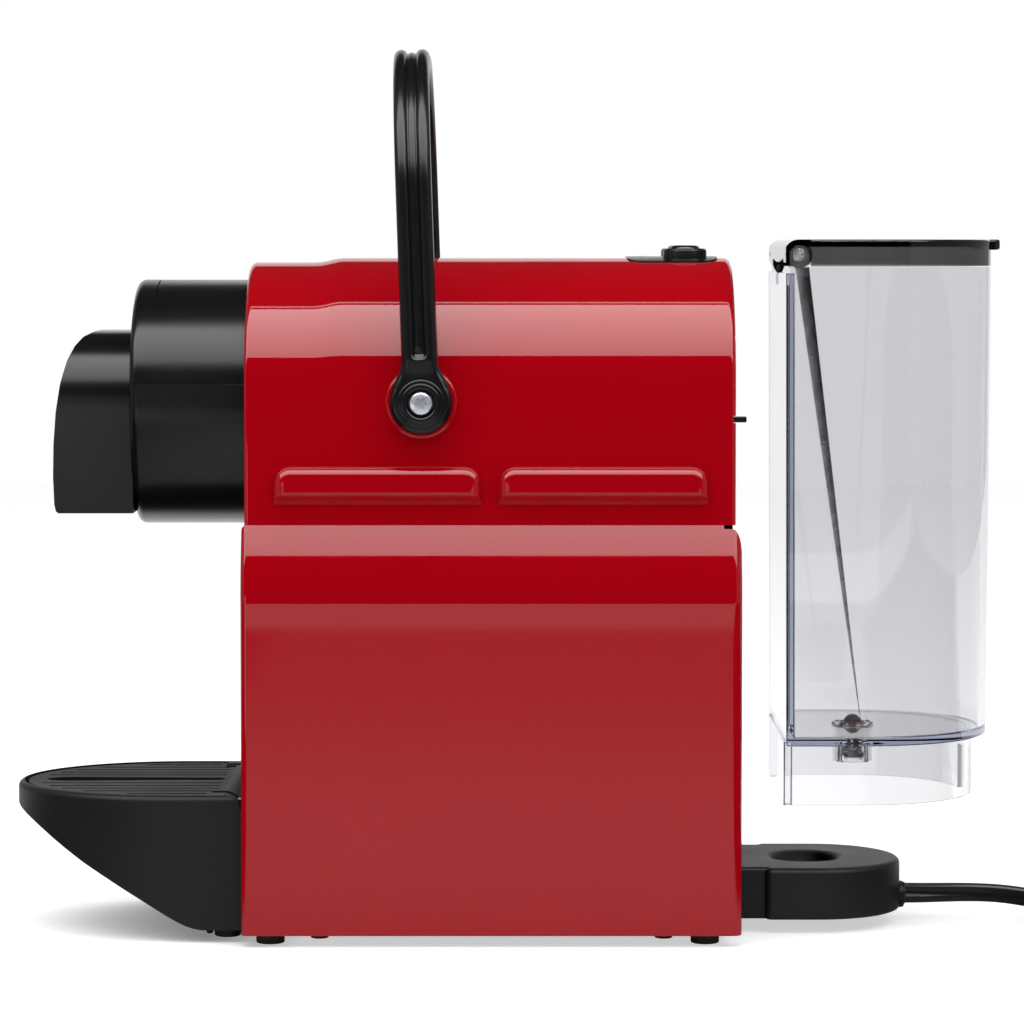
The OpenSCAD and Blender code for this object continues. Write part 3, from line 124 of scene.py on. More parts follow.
def pick(obj: bpy.types.Object, part: Part, test: Callable[..., bool]) -> None:
    """Opens a mesh for editing with only the elements selected that pass a test.

    Args:
        obj: The mesh object.
        part: What is picked.
        test: Takes a vertex's place, an edge's two ends, or a face's centre and normal,
            in mm apart from the normal.
    """
    hold(obj)
    bpy.ops.object.mode_set(mode="EDIT")
    bpy.ops.mesh.select_mode(type=part.name)
    bpy.ops.mesh.select_all(action="DESELECT")
    bpy.ops.object.mode_set(mode="OBJECT")
    mesh = obj.data
    for item in getattr(mesh, part.value):
        if part is Part.VERT:
            item.select = test(item.co / MM)
        elif part is Part.EDGE:
            item.select = test(*(mesh.vertices[i].co / MM for i in item.vertices))
        else:
            item.select = test(item.center / MM, item.normal)
    bpy.ops.object.mode_set(mode="EDIT")


def everything(obj: bpy.types.Object) -> None:
    """Opens a mesh for editing with all of it selected."""
    hold(obj)
    bpy.ops.object.mode_set(mode="EDIT")
    bpy.ops.mesh.select_all(action="SELECT")


def tidy(obj: bpy.types.Object, gap: float = 0.002) -> bpy.types.Object:
    """Merges doubled points, turns the faces outwards and leaves edit mode."""
    everything(obj)
    bpy.ops.mesh.remove_doubles(threshold=gap * MM)
    bpy.ops.mesh.normals_make_consistent(inside=False)
    bpy.ops.object.mode_set(mode="OBJECT")
    return obj


def chain(name: str, points: Sequence[Vector], filled: bool) -> bpy.types.Object:
    """Adds a circle and lays its points along an outline.

    Args:
        name: Name of the new object.
        points: The outline, in metres.
        filled: Whether the outline gets a face.

    Returns:
        The new object, out of edit mode.
    """
    if bpy.context.object and bpy.context.object.mode != "OBJECT":
        bpy.ops.object.mode_set(mode="OBJECT")
    bpy.ops.object.select_all(action="DESELECT")
    bpy.ops.mesh.primitive_circle_add(
        vertices=len(points), radius=MM, fill_type="NGON" if filled else "NOTHING"
    )
    obj = bpy.context.object
    obj.name = obj.data.name = name
    for vertex, point in zip(obj.data.vertices, points, strict=True):
        vertex.co = point
    return obj


def prism(name: str, outline: Sequence[Point], axis: Axis, low: float, high: float):
    """Draws a flat outline out along an axis to a closed solid.

    Args:
        name: Name of the new object.
        outline: Corners across the axis, in mm.
        axis: Direction of the drawing out.
        low: Start along the axis, in mm.
        high: End along the axis, in mm.

    Returns:
        The solid.
    """
    obj = chain(name, [axis.at(u, v, low) for u, v in outline], True)
    everything(obj)
    bpy.ops.mesh.extrude_region_move(
        TRANSFORM_OT_translate={"value": axis.at(0, 0, high - low)}
    )
    return tidy(obj)


def spun(
    name: str,
    profile: Sequence[Point],
    axis: Axis,
    centre: Point,
    steps: int = 64,
    closed: bool = False,
):
    """Turns a profile once round an axis.

    Args:
        name: Name of the new object.
        profile: Points (along the axis, radius), in mm.
        axis: The axis that it turns about.
        centre: Where the axis lies across itself, in mm.
        steps: Steps of the turn.
        closed: Whether the last point joins the first.

    Returns:
        The turned solid.
    """
    across = [axis.at(centre[0] + r, centre[1], w) for w, r in profile]
    obj = chain(name, across, False)
    if not closed:
        last = len(profile) - 1
        pick(obj, Part.EDGE, lambda a, b: False)
        bpy.ops.object.mode_set(mode="OBJECT")
        for edge in obj.data.edges:
            edge.select = set(edge.vertices) == {0, last}
        bpy.ops.object.mode_set(mode="EDIT")
        bpy.ops.mesh.delete(type="EDGE_FACE")
    everything(obj)
    bpy.ops.mesh.spin(
        steps=steps,
        angle=2 * math.pi,
        center=axis.at(centre[0], centre[1], 0),
        axis=axis.at(0, 0, 1).normalized(),
    )
    return tidy(obj)


def skin(name: str, rows: Sequence[Row], capped: bool = True, ring: bool = True):
    """Lays a grid over rows of points, each row a closed outline.

    Args:
        name: Name of the new object.
        rows: Outlines with the same number of points, in mm.
        capped: Whether the first and last outline are closed with a face.
        ring: Whether each row's end joins its start.

    Returns:
        The skinned object.
    """
    laid = [row + row[:1] if ring else row for row in rows]
    if bpy.context.object and bpy.context.object.mode != "OBJECT":
        bpy.ops.object.mode_set(mode="OBJECT")
    bpy.ops.object.select_all(action="DESELECT")
    bpy.ops.mesh.primitive_grid_add(
        x_subdivisions=len(laid[0]) - 1, y_subdivisions=len(laid) - 1, size=MM
    )
    obj = bpy.context.object
    obj.name = obj.data.name = name
    flat = [c * MM for row in laid for point in row for c in point]
    obj.data.vertices.foreach_set("co", flat)
    if capped:
        for row in (rows[0], rows[-1]):
            rim = {tuple(round(c, 3) for c in p) for p in row}
            everything(obj)
            bpy.ops.mesh.remove_doubles(threshold=0.0005 * MM)
            pick(
                obj,
                Part.EDGE,
                lambda a, b, rim=rim: tuple(round(c, 3) for c in a) in rim
                and tuple(round(c, 3) for c in b) in rim,
            )
            bpy.ops.mesh.edge_face_add()
    return tidy(obj)


def cut(obj: bpy.types.Object, tool: bpy.types.Object, way: str = "DIFFERENCE"):
    """Combines an object with a tool solid, which is used up.

    Args:
        obj: The piece that is worked on.
        tool: The solid that cuts, joins or bounds it.
        way: DIFFERENCE, UNION or INTERSECT.

    Returns:
        The piece.
    """
    hold(obj)
    bpy.ops.object.modifier_add(type="BOOLEAN")
    step = obj.modifiers[-1]
    step.operation, step.object, step.solver = way, tool, "EXACT"
    bpy.ops.object.modifier_apply(modifier=step.name)
    bpy.data.objects.remove(tool)
    return obj


def twin(obj: bpy.types.Object, name: str) -> bpy.types.Object:
    """Copies a piece with a mesh of its own."""
    copy = obj.copy()
    copy.data = obj.data.copy()
    copy.name = copy.data.name = name
    bpy.context.scene.collection.objects.link(copy)
    return copy


def mirrored(obj: bpy.types.Object, name: str) -> bpy.types.Object:
    """Copies a piece to the other side of the machine's middle plane."""
    copy = twin(obj, name)
    copy.data.transform(Matrix.Diagonal((1, -1, 1, 1)))
    return tidy(copy)


def ease(obj: bpy.types.Object, width: float, segments: int = 3, angle: float = 32):
    """Rounds the sharp edges of a piece by a modifier.

    Args:
        obj: The piece.
        width: Width of the rounding, in mm.
        segments: Facets across it.
        angle: Edges sharper than this are rounded, in degrees.

    Returns:
        The piece.
    """
    hold(obj)
    bpy.ops.object.modifier_add(type="BEVEL")
    step = obj.modifiers[-1]
    step.width, step.segments = width * MM, segments
    step.limit_method, step.angle_limit = "ANGLE", math.radians(angle)
    step.miter_outer = "MITER_ARC"
    bpy.ops.object.modifier_apply(modifier=step.name)
    return obj


def smooth(obj: bpy.types.Object, angle: float = 35) -> bpy.types.Object:
    """Shades a piece smooth up to an angle, with normals weighted by the faces' areas."""
    hold(obj)
    bpy.ops.object.shade_smooth_by_angle(angle=math.radians(angle))
    bpy.ops.object.modifier_add(type="WEIGHTED_NORMAL")
    step = obj.modifiers[-1]
    step.keep_sharp, step.weight = True, 60
    bpy.ops.object.modifier_apply(modifier=step.name)
    return obj


def arc(u: float, v: float, r: float, start: float, end: float, steps: int) -> list[Point]:
    """Points of an arc, from one angle in degrees to another."""
    turns = [math.radians(start + (end - start) * i / steps) for i in range(steps + 1)]
    return [(u + r * math.cos(t), v + r * math.sin(t)) for t in turns]


def round_rect(u0: float, u1: float, v0: float, v1: float, r: float, steps: int = 8):
    """Outline of a rectangle with round corners, as a list of points."""
    corners = [(u1 - r, v1 - r, 0), (u0 + r, v1 - r, 90), (u0 + r, v0 + r, 180), (u1 - r, v0 + r, 270)]
    return [p for u, v, a in corners for p in arc(u, v, r, a, a + 90, steps)]


# ---------- finishes ----------


def linear(code: str) -> tuple[float, float, float, float]:
    """Turns an sRGB hex colour to a linear one with full alpha."""
    parts = [int(code[i : i + 2], 16) / 255 for i in (1, 3, 5)]
    return (*(c / 12.92 if c <= 0.04045 else ((c + 0.055) / 1.055) ** 2.4 for c in parts), 1.0)


def add(tree: bpy.types.NodeTree, kind: str, sets: dict | None = None, links: dict | None = None):
    """Adds a node with its settings and links.

    Args:
        tree: The node tree.
        kind: The node's type.
        sets: Values by the name of a socket or property.
        links: Output sockets by the name of the input that each feeds.

    Returns:
        The node.
    """
    node = tree.nodes.new(kind)
    for key, value in (sets or {}).items():
        if isinstance(key, int) or key in node.inputs:
            node.inputs[key].default_value = value
        else:
            setattr(node, key, value)
    for key, source in (links or {}).items():
        tree.links.new(source, node.inputs[key])
    return node


@dataclass(frozen=True)
class Finish:
    """A moulded, cast or plated surface.

    Attributes:
        name: The material and how its surface was made.
        colour: sRGB colour of the clean surface.
        drift: sRGB colour towards which it varies slowly.
        rough: Least and greatest roughness.
        metallic: 1 for bare metal.
        ior: Index of refraction of what is not metal.
        coat: Weight of a clear top layer.
        grain_mm: Spacing of the surface texture.
        grain_depth: Depth of the texture, in mm.
        clear: 1 for a clear plastic.
        fleck: Share of fine pale dust or flecks.
        stretch: How much finer the texture is along each axis.
        deep: sRGB tone and density (1/m) of what the plastic swallows over its depth.
    """

    name: str
    colour: str
    drift: str
    rough: tuple[float, float]
    metallic: float = 0.0
    ior: float = 1.5
    coat: float = 0.0
    grain_mm: float = 1.0
    grain_depth: float = 0.0
    clear: float = 0.0
    fleck: float = 0.0
    stretch: tuple[float, float, float] = (1.0, 1.0, 1.0)
    deep: tuple[str, float] | None = None

    def make(self) -> bpy.types.Material:
        """Builds the material, once.

        Returns:
            The material.
        """
        made = bpy.data.materials.get(self.name)
        if made:
            return made
        made = bpy.data.materials.new(self.name)
        made.use_nodes = True
        tree = made.node_tree
        tree.nodes.clear()
        place = add(tree, "ShaderNodeTexCoord").outputs["Object"]
        run = add(tree, "ShaderNodeMapping", {"Scale": self.stretch}, {"Vector": place})
        slow = add(
            tree,
            "ShaderNodeTexNoise",
            {"Scale": 1 / (38 * MM), "Detail": 3.0, "Roughness": 0.55},
            {"Vector": place},
        )
        grain = add(
            tree,
            "ShaderNodeTexNoise",
            {"Scale": 1 / (self.grain_mm * MM), "Detail": 2.0, "Roughness": 0.6},
            {"Vector": run.outputs["Vector"]},
        )
        tint = add(
            tree,
            "ShaderNodeMix",
            {"data_type": "RGBA", 6: linear(self.colour), 7: linear(self.drift)},
            {0: slow.outputs["Fac"]},
        )
        colour = tint.outputs[2]
        if self.fleck:
            dust = add(
                tree,
                "ShaderNodeTexVoronoi",
                {"Scale": 1 / (5.5 * MM)},
                {"Vector": place},
            )
            spot = add(
                tree,
                "ShaderNodeMapRange",
                {"From Min": 0.0, "From Max": 0.035, "To Min": self.fleck, "To Max": 0.0},
                {"Value": dust.outputs["Distance"]},
            )
            colour = add(
                tree,
                "ShaderNodeMix",
                {"data_type": "RGBA", 7: linear("#8C8A88")},
                {0: spot.outputs[0], 6: colour},
            ).outputs[2]
        blur = add(
            tree,
            "ShaderNodeMapRange",
            {"From Min": 0.3, "From Max": 0.7, "To Min": self.rough[0], "To Max": self.rough[1]},
            {"Value": slow.outputs["Fac"]},
        )
        shader = add(
            tree,
            "ShaderNodeBsdfPrincipled",
            {
                "Metallic": self.metallic,
                "IOR": self.ior,
                "Coat Weight": self.coat,
                "Coat Roughness": 0.02,
                "Transmission Weight": self.clear,
            },
            {"Base Color": colour, "Roughness": blur.outputs[0]},
        )
        if self.grain_depth:
            bump = add(
                tree,
                "ShaderNodeBump",
                {"Strength": 1.0, "Distance": self.grain_depth * MM},
                {"Height": grain.outputs["Fac"]},
            )
            tree.links.new(bump.outputs["Normal"], shader.inputs["Normal"])
        out = add(tree, "ShaderNodeOutputMaterial", links={"Surface": shader.outputs[0]})
        if self.deep:
            tone, density = self.deep
            inside = add(tree, "ShaderNodeVolumeAbsorption", {"Color": linear(tone), "Density": density})
            tree.links.new(inside.outputs[0], out.inputs["Volume"])
        return made


# Glossy ABS straight from a polished mould: a hard mirror with a faint orange peel
GLOSS_RED = Finish(
    "abs_gloss_red", "#A80010", "#AC0212", (0.025, 0.045), grain_mm=5, grain_depth=0.0016
)
# ABS from a finely spark-eroded mould: soft broad lights; the grain is drawn coarser to show
SATIN_BLACK = Finish(
    "abs_satin_black", "#0A0A0C", "#0F0F11", (0.21, 0.27), ior=1.41, grain_mm=0.7, grain_depth=0.006, fleck=0.12
)
# The drip tray's coarser spark-eroded mould: nearly matt
MATT_BLACK = Finish(
    "abs_matt_black", "#0F0E10", "#141315", (0.5, 0.58), ior=1.38, grain_mm=0.8, grain_depth=0.012, fleck=0.1
)
GLOSS_BLACK = Finish(
    "abs_gloss_black", "#0C0C0E", "#111113", (0.1, 0.16), coat=0.3, grain_mm=3, grain_depth=0.001
)
# Clear styrene acrylonitrile, injection moulded: bluish where the eye runs along a wall
CLEAR_SAN = Finish(
    "san_clear", "#E9E9EB", "#ECECED", (0.0, 0.012), ior=1.52, clear=1.0, grain_mm=9, grain_depth=0.0004,
    deep=("#385EA5", 12.5),
)
# The same plastic smoked for the lid
SMOKE_SAN = Finish(
    "san_smoked", "#E6E6E8", "#EAEAEB", (0.03, 0.06), ior=1.5, clear=1.0, grain_mm=6, grain_depth=0.001,
    deep=("#121212", 450.0),
)
# Zinc-plated steel screw, bright and slightly mottled
ZINC = Finish("steel_zinc_plated", "#E6EAF0", "#D6DBE3", (0.2, 0.32), 0.65, grain_mm=0.5, grain_depth=0.003)
BLACK_STEEL = Finish("steel_black_oxide", "#2A2A2C", "#1E1E20", (0.35, 0.45), 1.0, grain_mm=0.5, grain_depth=0.003)
STEEL = Finish(
    "steel_stamped", "#B9BBBE", "#A5A7AA", (0.24, 0.36), 1.0, grain_mm=0.6, grain_depth=0.002,
    stretch=(1.0, 6.0, 6.0),
)
# Die-cast heater block: dull with a sandy skin
CAST = Finish("aluminium_die_cast", "#A9ABAD", "#94979A", (0.42, 0.55), 1.0, grain_mm=1.2, grain_depth=0.02)
RUBBER = Finish("rubber_black", "#151515", "#1C1B1A", (0.62, 0.78), grain_mm=0.9, grain_depth=0.012)
SEAL = Finish("silicone_red", "#7E3B3A", "#8A4644", (0.45, 0.55), grain_mm=0.8, grain_depth=0.004)
LEAD_PVC = Finish("pvc_lead_black", "#141416", "#1B1B1D", (0.28, 0.36), grain_mm=1.1, grain_depth=0.006)
GREY_PP = Finish("polypropylene_grey", "#6E7073", "#767879", (0.42, 0.5), grain_mm=0.9, grain_depth=0.008)
WHITE_PA = Finish("polyamide_white", "#D6D4CC", "#DEDCD5", (0.38, 0.46), grain_mm=1.0, grain_depth=0.006)
BOARD = Finish("board_laminate_green", "#1E5A38", "#236342", (0.3, 0.4), grain_mm=0.8, grain_depth=0.004)
BRASS = Finish("brass_turned", "#B99A55", "#A88A48", (0.22, 0.34), 1.0, grain_mm=0.4, grain_depth=0.002)
PRINT = Finish("pad_print_white", "#D8D8D6", "#E0E0DE", (0.45, 0.5))


def dress(obj: bpy.types.Object, finish: Finish) -> bpy.types.Object:
    """Gives a piece one finish all over."""
    obj.data.materials.clear()
    obj.data.materials.append(finish.make())
    return obj


def seat(
    obj: bpy.types.Object, body: str, slot: str, finish: Finish, *nodes: str
) -> bpy.types.Object:
    """Dresses a finished piece and seats it on its body.

    Args:
        obj: The piece.
        body: The body that it rides on.
        slot: The record's material slot; not used.
        finish: Its finish.
        *nodes: CAD nodes that it stands for.

    Returns:
        The piece.
    """
    dress(obj, finish)
    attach(obj, body)
    if nodes:
        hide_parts(*nodes)
    LOG.info("%s: %d faces on %s", obj.name, len(obj.data.polygons), body)
    return obj


def rim(obj: bpy.types.Object, width: float, weight: Callable[[Vector, Vector], float]):
    """Rounds chosen edges, each by its own width, in one bevel.

    Args:
        obj: The piece.
        width: Greatest width, in mm.
        weight: Gives an edge's share of that width from its two ends, in mm; 0 leaves it.

    Returns:
        The piece.
    """
    hold(obj)
    mesh = obj.data
    layer = mesh.attributes.new("bevel_weight_edge", "FLOAT", "EDGE")
    for edge in mesh.edges:
        layer.data[edge.index].value = weight(*(mesh.vertices[i].co / MM for i in edge.vertices))
    bpy.ops.object.modifier_add(type="BEVEL")
    step = obj.modifiers[-1]
    step.width, step.segments, step.limit_method = width * MM, 7, "WEIGHT"
    bpy.ops.object.modifier_apply(modifier=step.name)
    left = obj.data.attributes.get("bevel_weight_edge")
    if left:
        obj.data.attributes.remove(left)
    return tidy(obj, 0.01)


def slab(name: str, x: Point, y: Point, z: Point) -> bpy.types.Object:
    """Adds a block between two places along each axis, in mm."""
    return prism(name, [(x[0], y[0]), (x[1], y[0]), (x[1], y[1]), (x[0], y[1])], Axis.Z, *z)


def rod(name: str, axis: Axis, centre: Point, radius: float, low: float, high: float, steps: int = 72):
    """Adds a round bar along an axis, in mm."""
    turn = arc(centre[0], centre[1], radius, 0, 360, steps)[:-1]
    return prism(name, turn, axis, low, high)


def softened(node: str, name: str, width: float, angle: float = 30) -> bpy.types.Object:
    """Copies a CAD node, merges its triangles and rounds its edges.

    Args:
        node: The CAD node.
        name: Name of the copy.
        width: Width of the rounding, in mm.
        angle: Edges sharper than this are rounded, in degrees.

    Returns:
        The piece.
    """
    copy = twin(MODEL["nodes"][node], name)
    copy.parent = None
    copy.hide_render = False
    copy.matrix_world = Matrix()
    tidy(copy, 0.01)
    everything(copy)
    bpy.ops.mesh.dissolve_limited(angle_limit=math.radians(1.5))
    bpy.ops.object.mode_set(mode="OBJECT")
    if width:
        hold(copy)
        bpy.ops.object.modifier_add(type="BEVEL")
        step = copy.modifiers[-1]
        step.width, step.segments = width * MM, 2
        step.limit_method, step.angle_limit = "ANGLE", math.radians(angle)
        step.use_clamp_overlap = True
        bpy.ops.object.modifier_apply(modifier=step.name)
    return smooth(copy)


MODEL: dict = {}


# ---------- housing ----------


@dataclass(frozen=True)
class HousingSizes:
    """Sizes of the housing, in mm.

    Attributes:
        front: Front of the lower housing.
        rear: Rear of the lower housing.
        half: Half width of the lower housing.
        shoulder: Height where the lower walls turn in.
        shoulder_r: Radius of the lower shoulder.
        flat: Height from which the shoulder is flatter.
        flat_r: Radius of that flatter part.
        waist: Height of the crease.
        upper_front: Front of the upper housing.
        upper_rear: Rear of the upper housing.
        upper_half: Half width of the upper housing.
        upper_r: Radius of the upper shoulder.
        top: Height of the top.
        dip: How much lower the top is in front.
        wall: Wall thickness.
        gap: Seam between the halves.
    """

    front: float = -89.0
    rear: float = 78.3
    half: float = 56.5
    shoulder: float = 115.0
    shoulder_r: float = 47.0
    flat: float = 128.6
    flat_r: float = 121.0
    waist: float = 141.0
    upper_front: float = -88.0
    upper_rear: float = 76.3
    upper_half: float = 50.0
    upper_r: float = 42.0
    top: float = 230.0
    dip: float = 1.5
    wall: float = 2.5
    gap: float = 0.3
    ledges: tuple[Point, ...] = ((-77.8, -8.9), (-2.8, 66.9))
    pivot: Point = (-28.7, 182.0)


@dataclass
class Housing:
    """Two-part gloss red housing with its side ledges and lever rings."""

    size: HousingSizes = field(default_factory=HousingSizes)

    def lower(self, inset: float) -> bpy.types.Object:
        """Lower body as a closed form, set in by a wall.

        Args:
            inset: Distance inside the outer face, in mm.

        Returns:
            The form.
        """
        s, g = self.size, inset
        turn = math.degrees(math.asin((s.flat - s.shoulder) / s.shoulder_r))
        side = arc(s.half - s.shoulder_r, s.shoulder, s.shoulder_r - g, 0, turn, 10)
        y, z, r = *side[-1], s.flat_r - g
        y, z = y - r * math.cos(math.radians(turn)), z - r * math.sin(math.radians(turn))
        side += arc(y, z, r, turn, math.degrees(math.asin((s.waist - g - z) / r)), 6)[1:]
        outline = [(s.half - g, -8.0 - g), *side, *((-u, v) for u, v in reversed(side))]
        outline.append((g - s.half, -8.0 - g))
        form = prism("lower_form", outline, Axis.X, s.front + g, s.rear - g)
        if g:
            return form
        return rim(form, 5.5, lambda a, b: self.end_edge(a, b, s.front, s.rear) * (0.62 if a.x < 0 else 1.0))

    @staticmethod
    def end_edge(a: Vector, b: Vector, front: float, rear: float) -> float:
        """1 for an edge that lies in either end face."""
        return float(abs(a.x - b.x) < 0.01 and min(abs(a.x - front), abs(a.x - rear)) < 0.01)

    def upper(self, inset: float, rise: float = 0.0) -> bpy.types.Object:
        """Upper body as a closed form, set in by a wall.

        Args:
            inset: Distance inside the outer face, in mm.
            rise: Height by which the form is lifted, in mm.

        Returns:
            The form.
        """
        s, g = self.size, inset
        side = [(s.upper_half - g, s.waist - (11 if g else 2))]
        side += arc(s.upper_half - s.upper_r, s.top - s.upper_r, s.upper_r - g, 0, 90, 40)
        outline = [(u, v + rise) for u, v in side]
        outline += [(-u, v) for u, v in reversed(outline)]
        x0, x1 = s.upper_front + g, s.upper_rear - g
        form = chain("upper_form", [Axis.X.at(u, v, x0) for u, v in outline], True)
        steps = [x0, -66.0, -64.3, -62.6, -61.0, -59.4, -57.7, -56.0, x1]
        everything(form)
        for a, b in zip(steps, steps[1:], strict=False):
            bpy.ops.mesh.extrude_region_move(TRANSFORM_OT_translate={"value": Axis.X.at(0, 0, b - a)})
        tidy(form)
        knee = s.top - s.upper_r + rise
        for x in steps[:-1]:
            t = min(max((-56.0 - x) / 10.0, 0.0), 1.0)
            drop = s.dip * t * t * (3 - 2 * t) / s.upper_r
            pick(form, Part.VERT, lambda p, x=x: abs(p.x - x) < 0.01 and p.z > knee + 0.01)
            bpy.ops.transform.resize(value=(1, 1, 1 - drop), center_override=(0, 0, knee * MM))
            bpy.ops.object.mode_set(mode="OBJECT")
        if g:
            return form

        def share(a: Vector, b: Vector) -> float:
            """Wider rounding along the crown, most at the rear."""
            if not self.end_edge(a, b, x0, x1):
                return 0.0
            t = min(max(((a.z + b.z) / 2 - 192) / 30, 0.0), 1.0)
            return (0.48 + 0.48 * t) if a.x < 0 else (0.8 + 0.2 * t)

        return rim(form, 6.6, share)

    def ledge(self, x0: float, x1: float) -> bpy.types.Object:
        """One side ledge: sloping in underneath, with round upper corners and a round upper edge."""
        s, z0, z1 = self.size, 151.4, 160.7
        y0, y1, r = s.upper_half - 3.2, s.upper_half + 4.5, 5.4
        outline = [(x0, z0), (x1, z0), *arc(x1 - r, z1 - r, r, 0, 90, 12), *arc(x0 + r, z1 - r, r, 90, 180, 12)]
        piece = prism("ledge", outline, Axis.Y, y0, y1)
        pick(piece, Part.VERT, lambda p: p.y < y0 + 0.01 and p.z < z0 + 0.01)
        bpy.ops.transform.translate(value=(0, 0, -6.0 * MM))
        bpy.ops.object.mode_set(mode="OBJECT")
        front = lambda a, b: min(a.y, b.y) > y1 - 0.01  # noqa: E731
        rim(piece, 3.4, lambda a, b: front(a, b) * (1.0 if max(a.z, b.z) > z0 + 0.1 else 0.24))
        return piece

    def half_shell(self, panel_hole: bpy.types.Object) -> bpy.types.Object:
        """The +Y half with its walls, openings, ledges, ring and screw posts."""
        s = self.size
        shell = cut(self.lower(0), self.upper(0), "UNION")
        shell = cut(shell, self.lower(s.wall))
        shell = cut(shell, self.upper(s.wall))
        px, pz = s.pivot
        for x0, x1 in s.ledges:
            shell = cut(shell, self.ledge(x0, x1), "UNION")
        ring = spun(
            "ring",
            [(46.5, 0), (46.5, 12.1), *arc(52.4, 11.0, 1.1, 90, 0, 7), (53.5, 0)],
            Axis.Y,
            (px, pz),
            72,
        )
        shell = cut(shell, ring, "UNION")
        shell = cut(shell, slab("seam", (-200, 200), (-100, s.gap / 2), (-20, 300)))
        shell = cut(shell, slab("floor_cut", (-200, 200), (-100, 100), (-30, 4)))
        shell = cut(shell, slab("bay", (-92, -83), (-42, 42), (-10, 134)))
        shell = cut(shell, prism("head_hole", BrewingHead().section(-0.3), Axis.X, -92, -77))
        shell = cut(shell, slab("rear_low", (72.3, 80), (-50.5, 50.5), (-10, 141)))
        shell = cut(shell, slab("rear_high", (70.3, 80), (-45.5, 45.5), (140, 204)))
        shell = cut(shell, slab("tab_slot", (72.9, 80), (43.4, 49.6), (175.1, 177.5)))
        shell = cut(shell, rod("shaft_hole", Axis.Y, (px, pz), 5.5, 40, 60, 48))
        shell = cut(shell, panel_hole)
        for x in (-63.0, 52.3):
            post = rod("post", Axis.Z, (x, 49.5), 3.6, 6.5, 22.5, 32)
            post = cut(post, slab("rib", (x - 1, x + 1), (49.5, 55), (6.5, 22.5)), "UNION")
            post = cut(post, rod("bore", Axis.Z, (x, 49.5), 1.5, 0, 20.5, 24))
            shell = cut(shell, post, "UNION")
        return tidy(shell)

    def build(self) -> None:
        """Models both halves, the control strip and the rear panel."""
        s = self.size
        strip = round_rect(40.7, 71.7, -19.5, 19.5, 6)
        left = self.half_shell(prism("panel_hole", strip, Axis.Z, 218, 240))
        left.name = "housing_left"
        right = mirrored(left, "housing_right")
        for piece, node in ((left, "left_housing"), (right, "right_housing")):
            seat(smooth(piece, 21), "machine", "red_gloss", GLOSS_RED, node)
        panel = prism("control_strip", round_rect(40.85, 71.55, -19.35, 19.35, 5.85), Axis.Z, 216, 236)
        panel = cut(panel, self.upper(0, 0.5), "INTERSECT")
        panel = cut(panel, self.upper(s.wall, 0.5))
        for y in (-9.0, 9.0):
            bezel = spun(
                "bezel",
                [(226, 0), (226, 7.5), (232.3, 7.5), (232.9, 7.25), (233.2, 6.8), (233.2, 0)],
                Axis.Z,
                (60.7, y),
                64,
            )
            panel = cut(panel, bezel, "UNION")
        for y in (-9.0, 9.0):
            panel = cut(panel, rod("well", Axis.Z, (60.7, y), 5.5, 222, 240, 64))
        seat(smooth(panel, 32), "machine", "black_satin", SATIN_BLACK, "control_panel")
        rear = softened("rear_panel", "rear_panel_skin", 0.5)
        seat(rear, "machine", "black_satin", SATIN_BLACK, "rear_panel")


# ---------- brewing head ----------


@dataclass(frozen=True)
class HeadSizes:
    """Sizes of the round head and its spout, in mm.

    Attributes:
        radius: Half width of the barrel, and its radius below.
        axis_z: Height of its axis.
        front: Front of the barrel.
        back: Rear edge of the barrel, inside the housing.
        split: Height of the parting line, from which the flatter arch rises.
        slot: Front, rear and half width of the capsule slot.
        spout_half: Half width of the spout cover.
        spout_foot: Its lower edge.
        spout_top: Its top.
        spout_r: Radius of its upper corners.
        spout_widest: Height down to which its sides are upright.
        spout_draft: How much it narrows over the next 48 mm down.
    """

    radius: float = 42.0
    axis_z: float = 180.5
    front: float = -127.0
    back: float = -82.0
    split: float = 188.0
    slot: tuple[float, float, float] = (-119.5, -90.5, 19.0)
    spout_half: float = 31.0
    spout_foot: float = 143.5
    spout_top: float = 205.0
    spout_r: float = 21.4
    spout_widest: float = 178.0
    spout_draft: float = 3.8


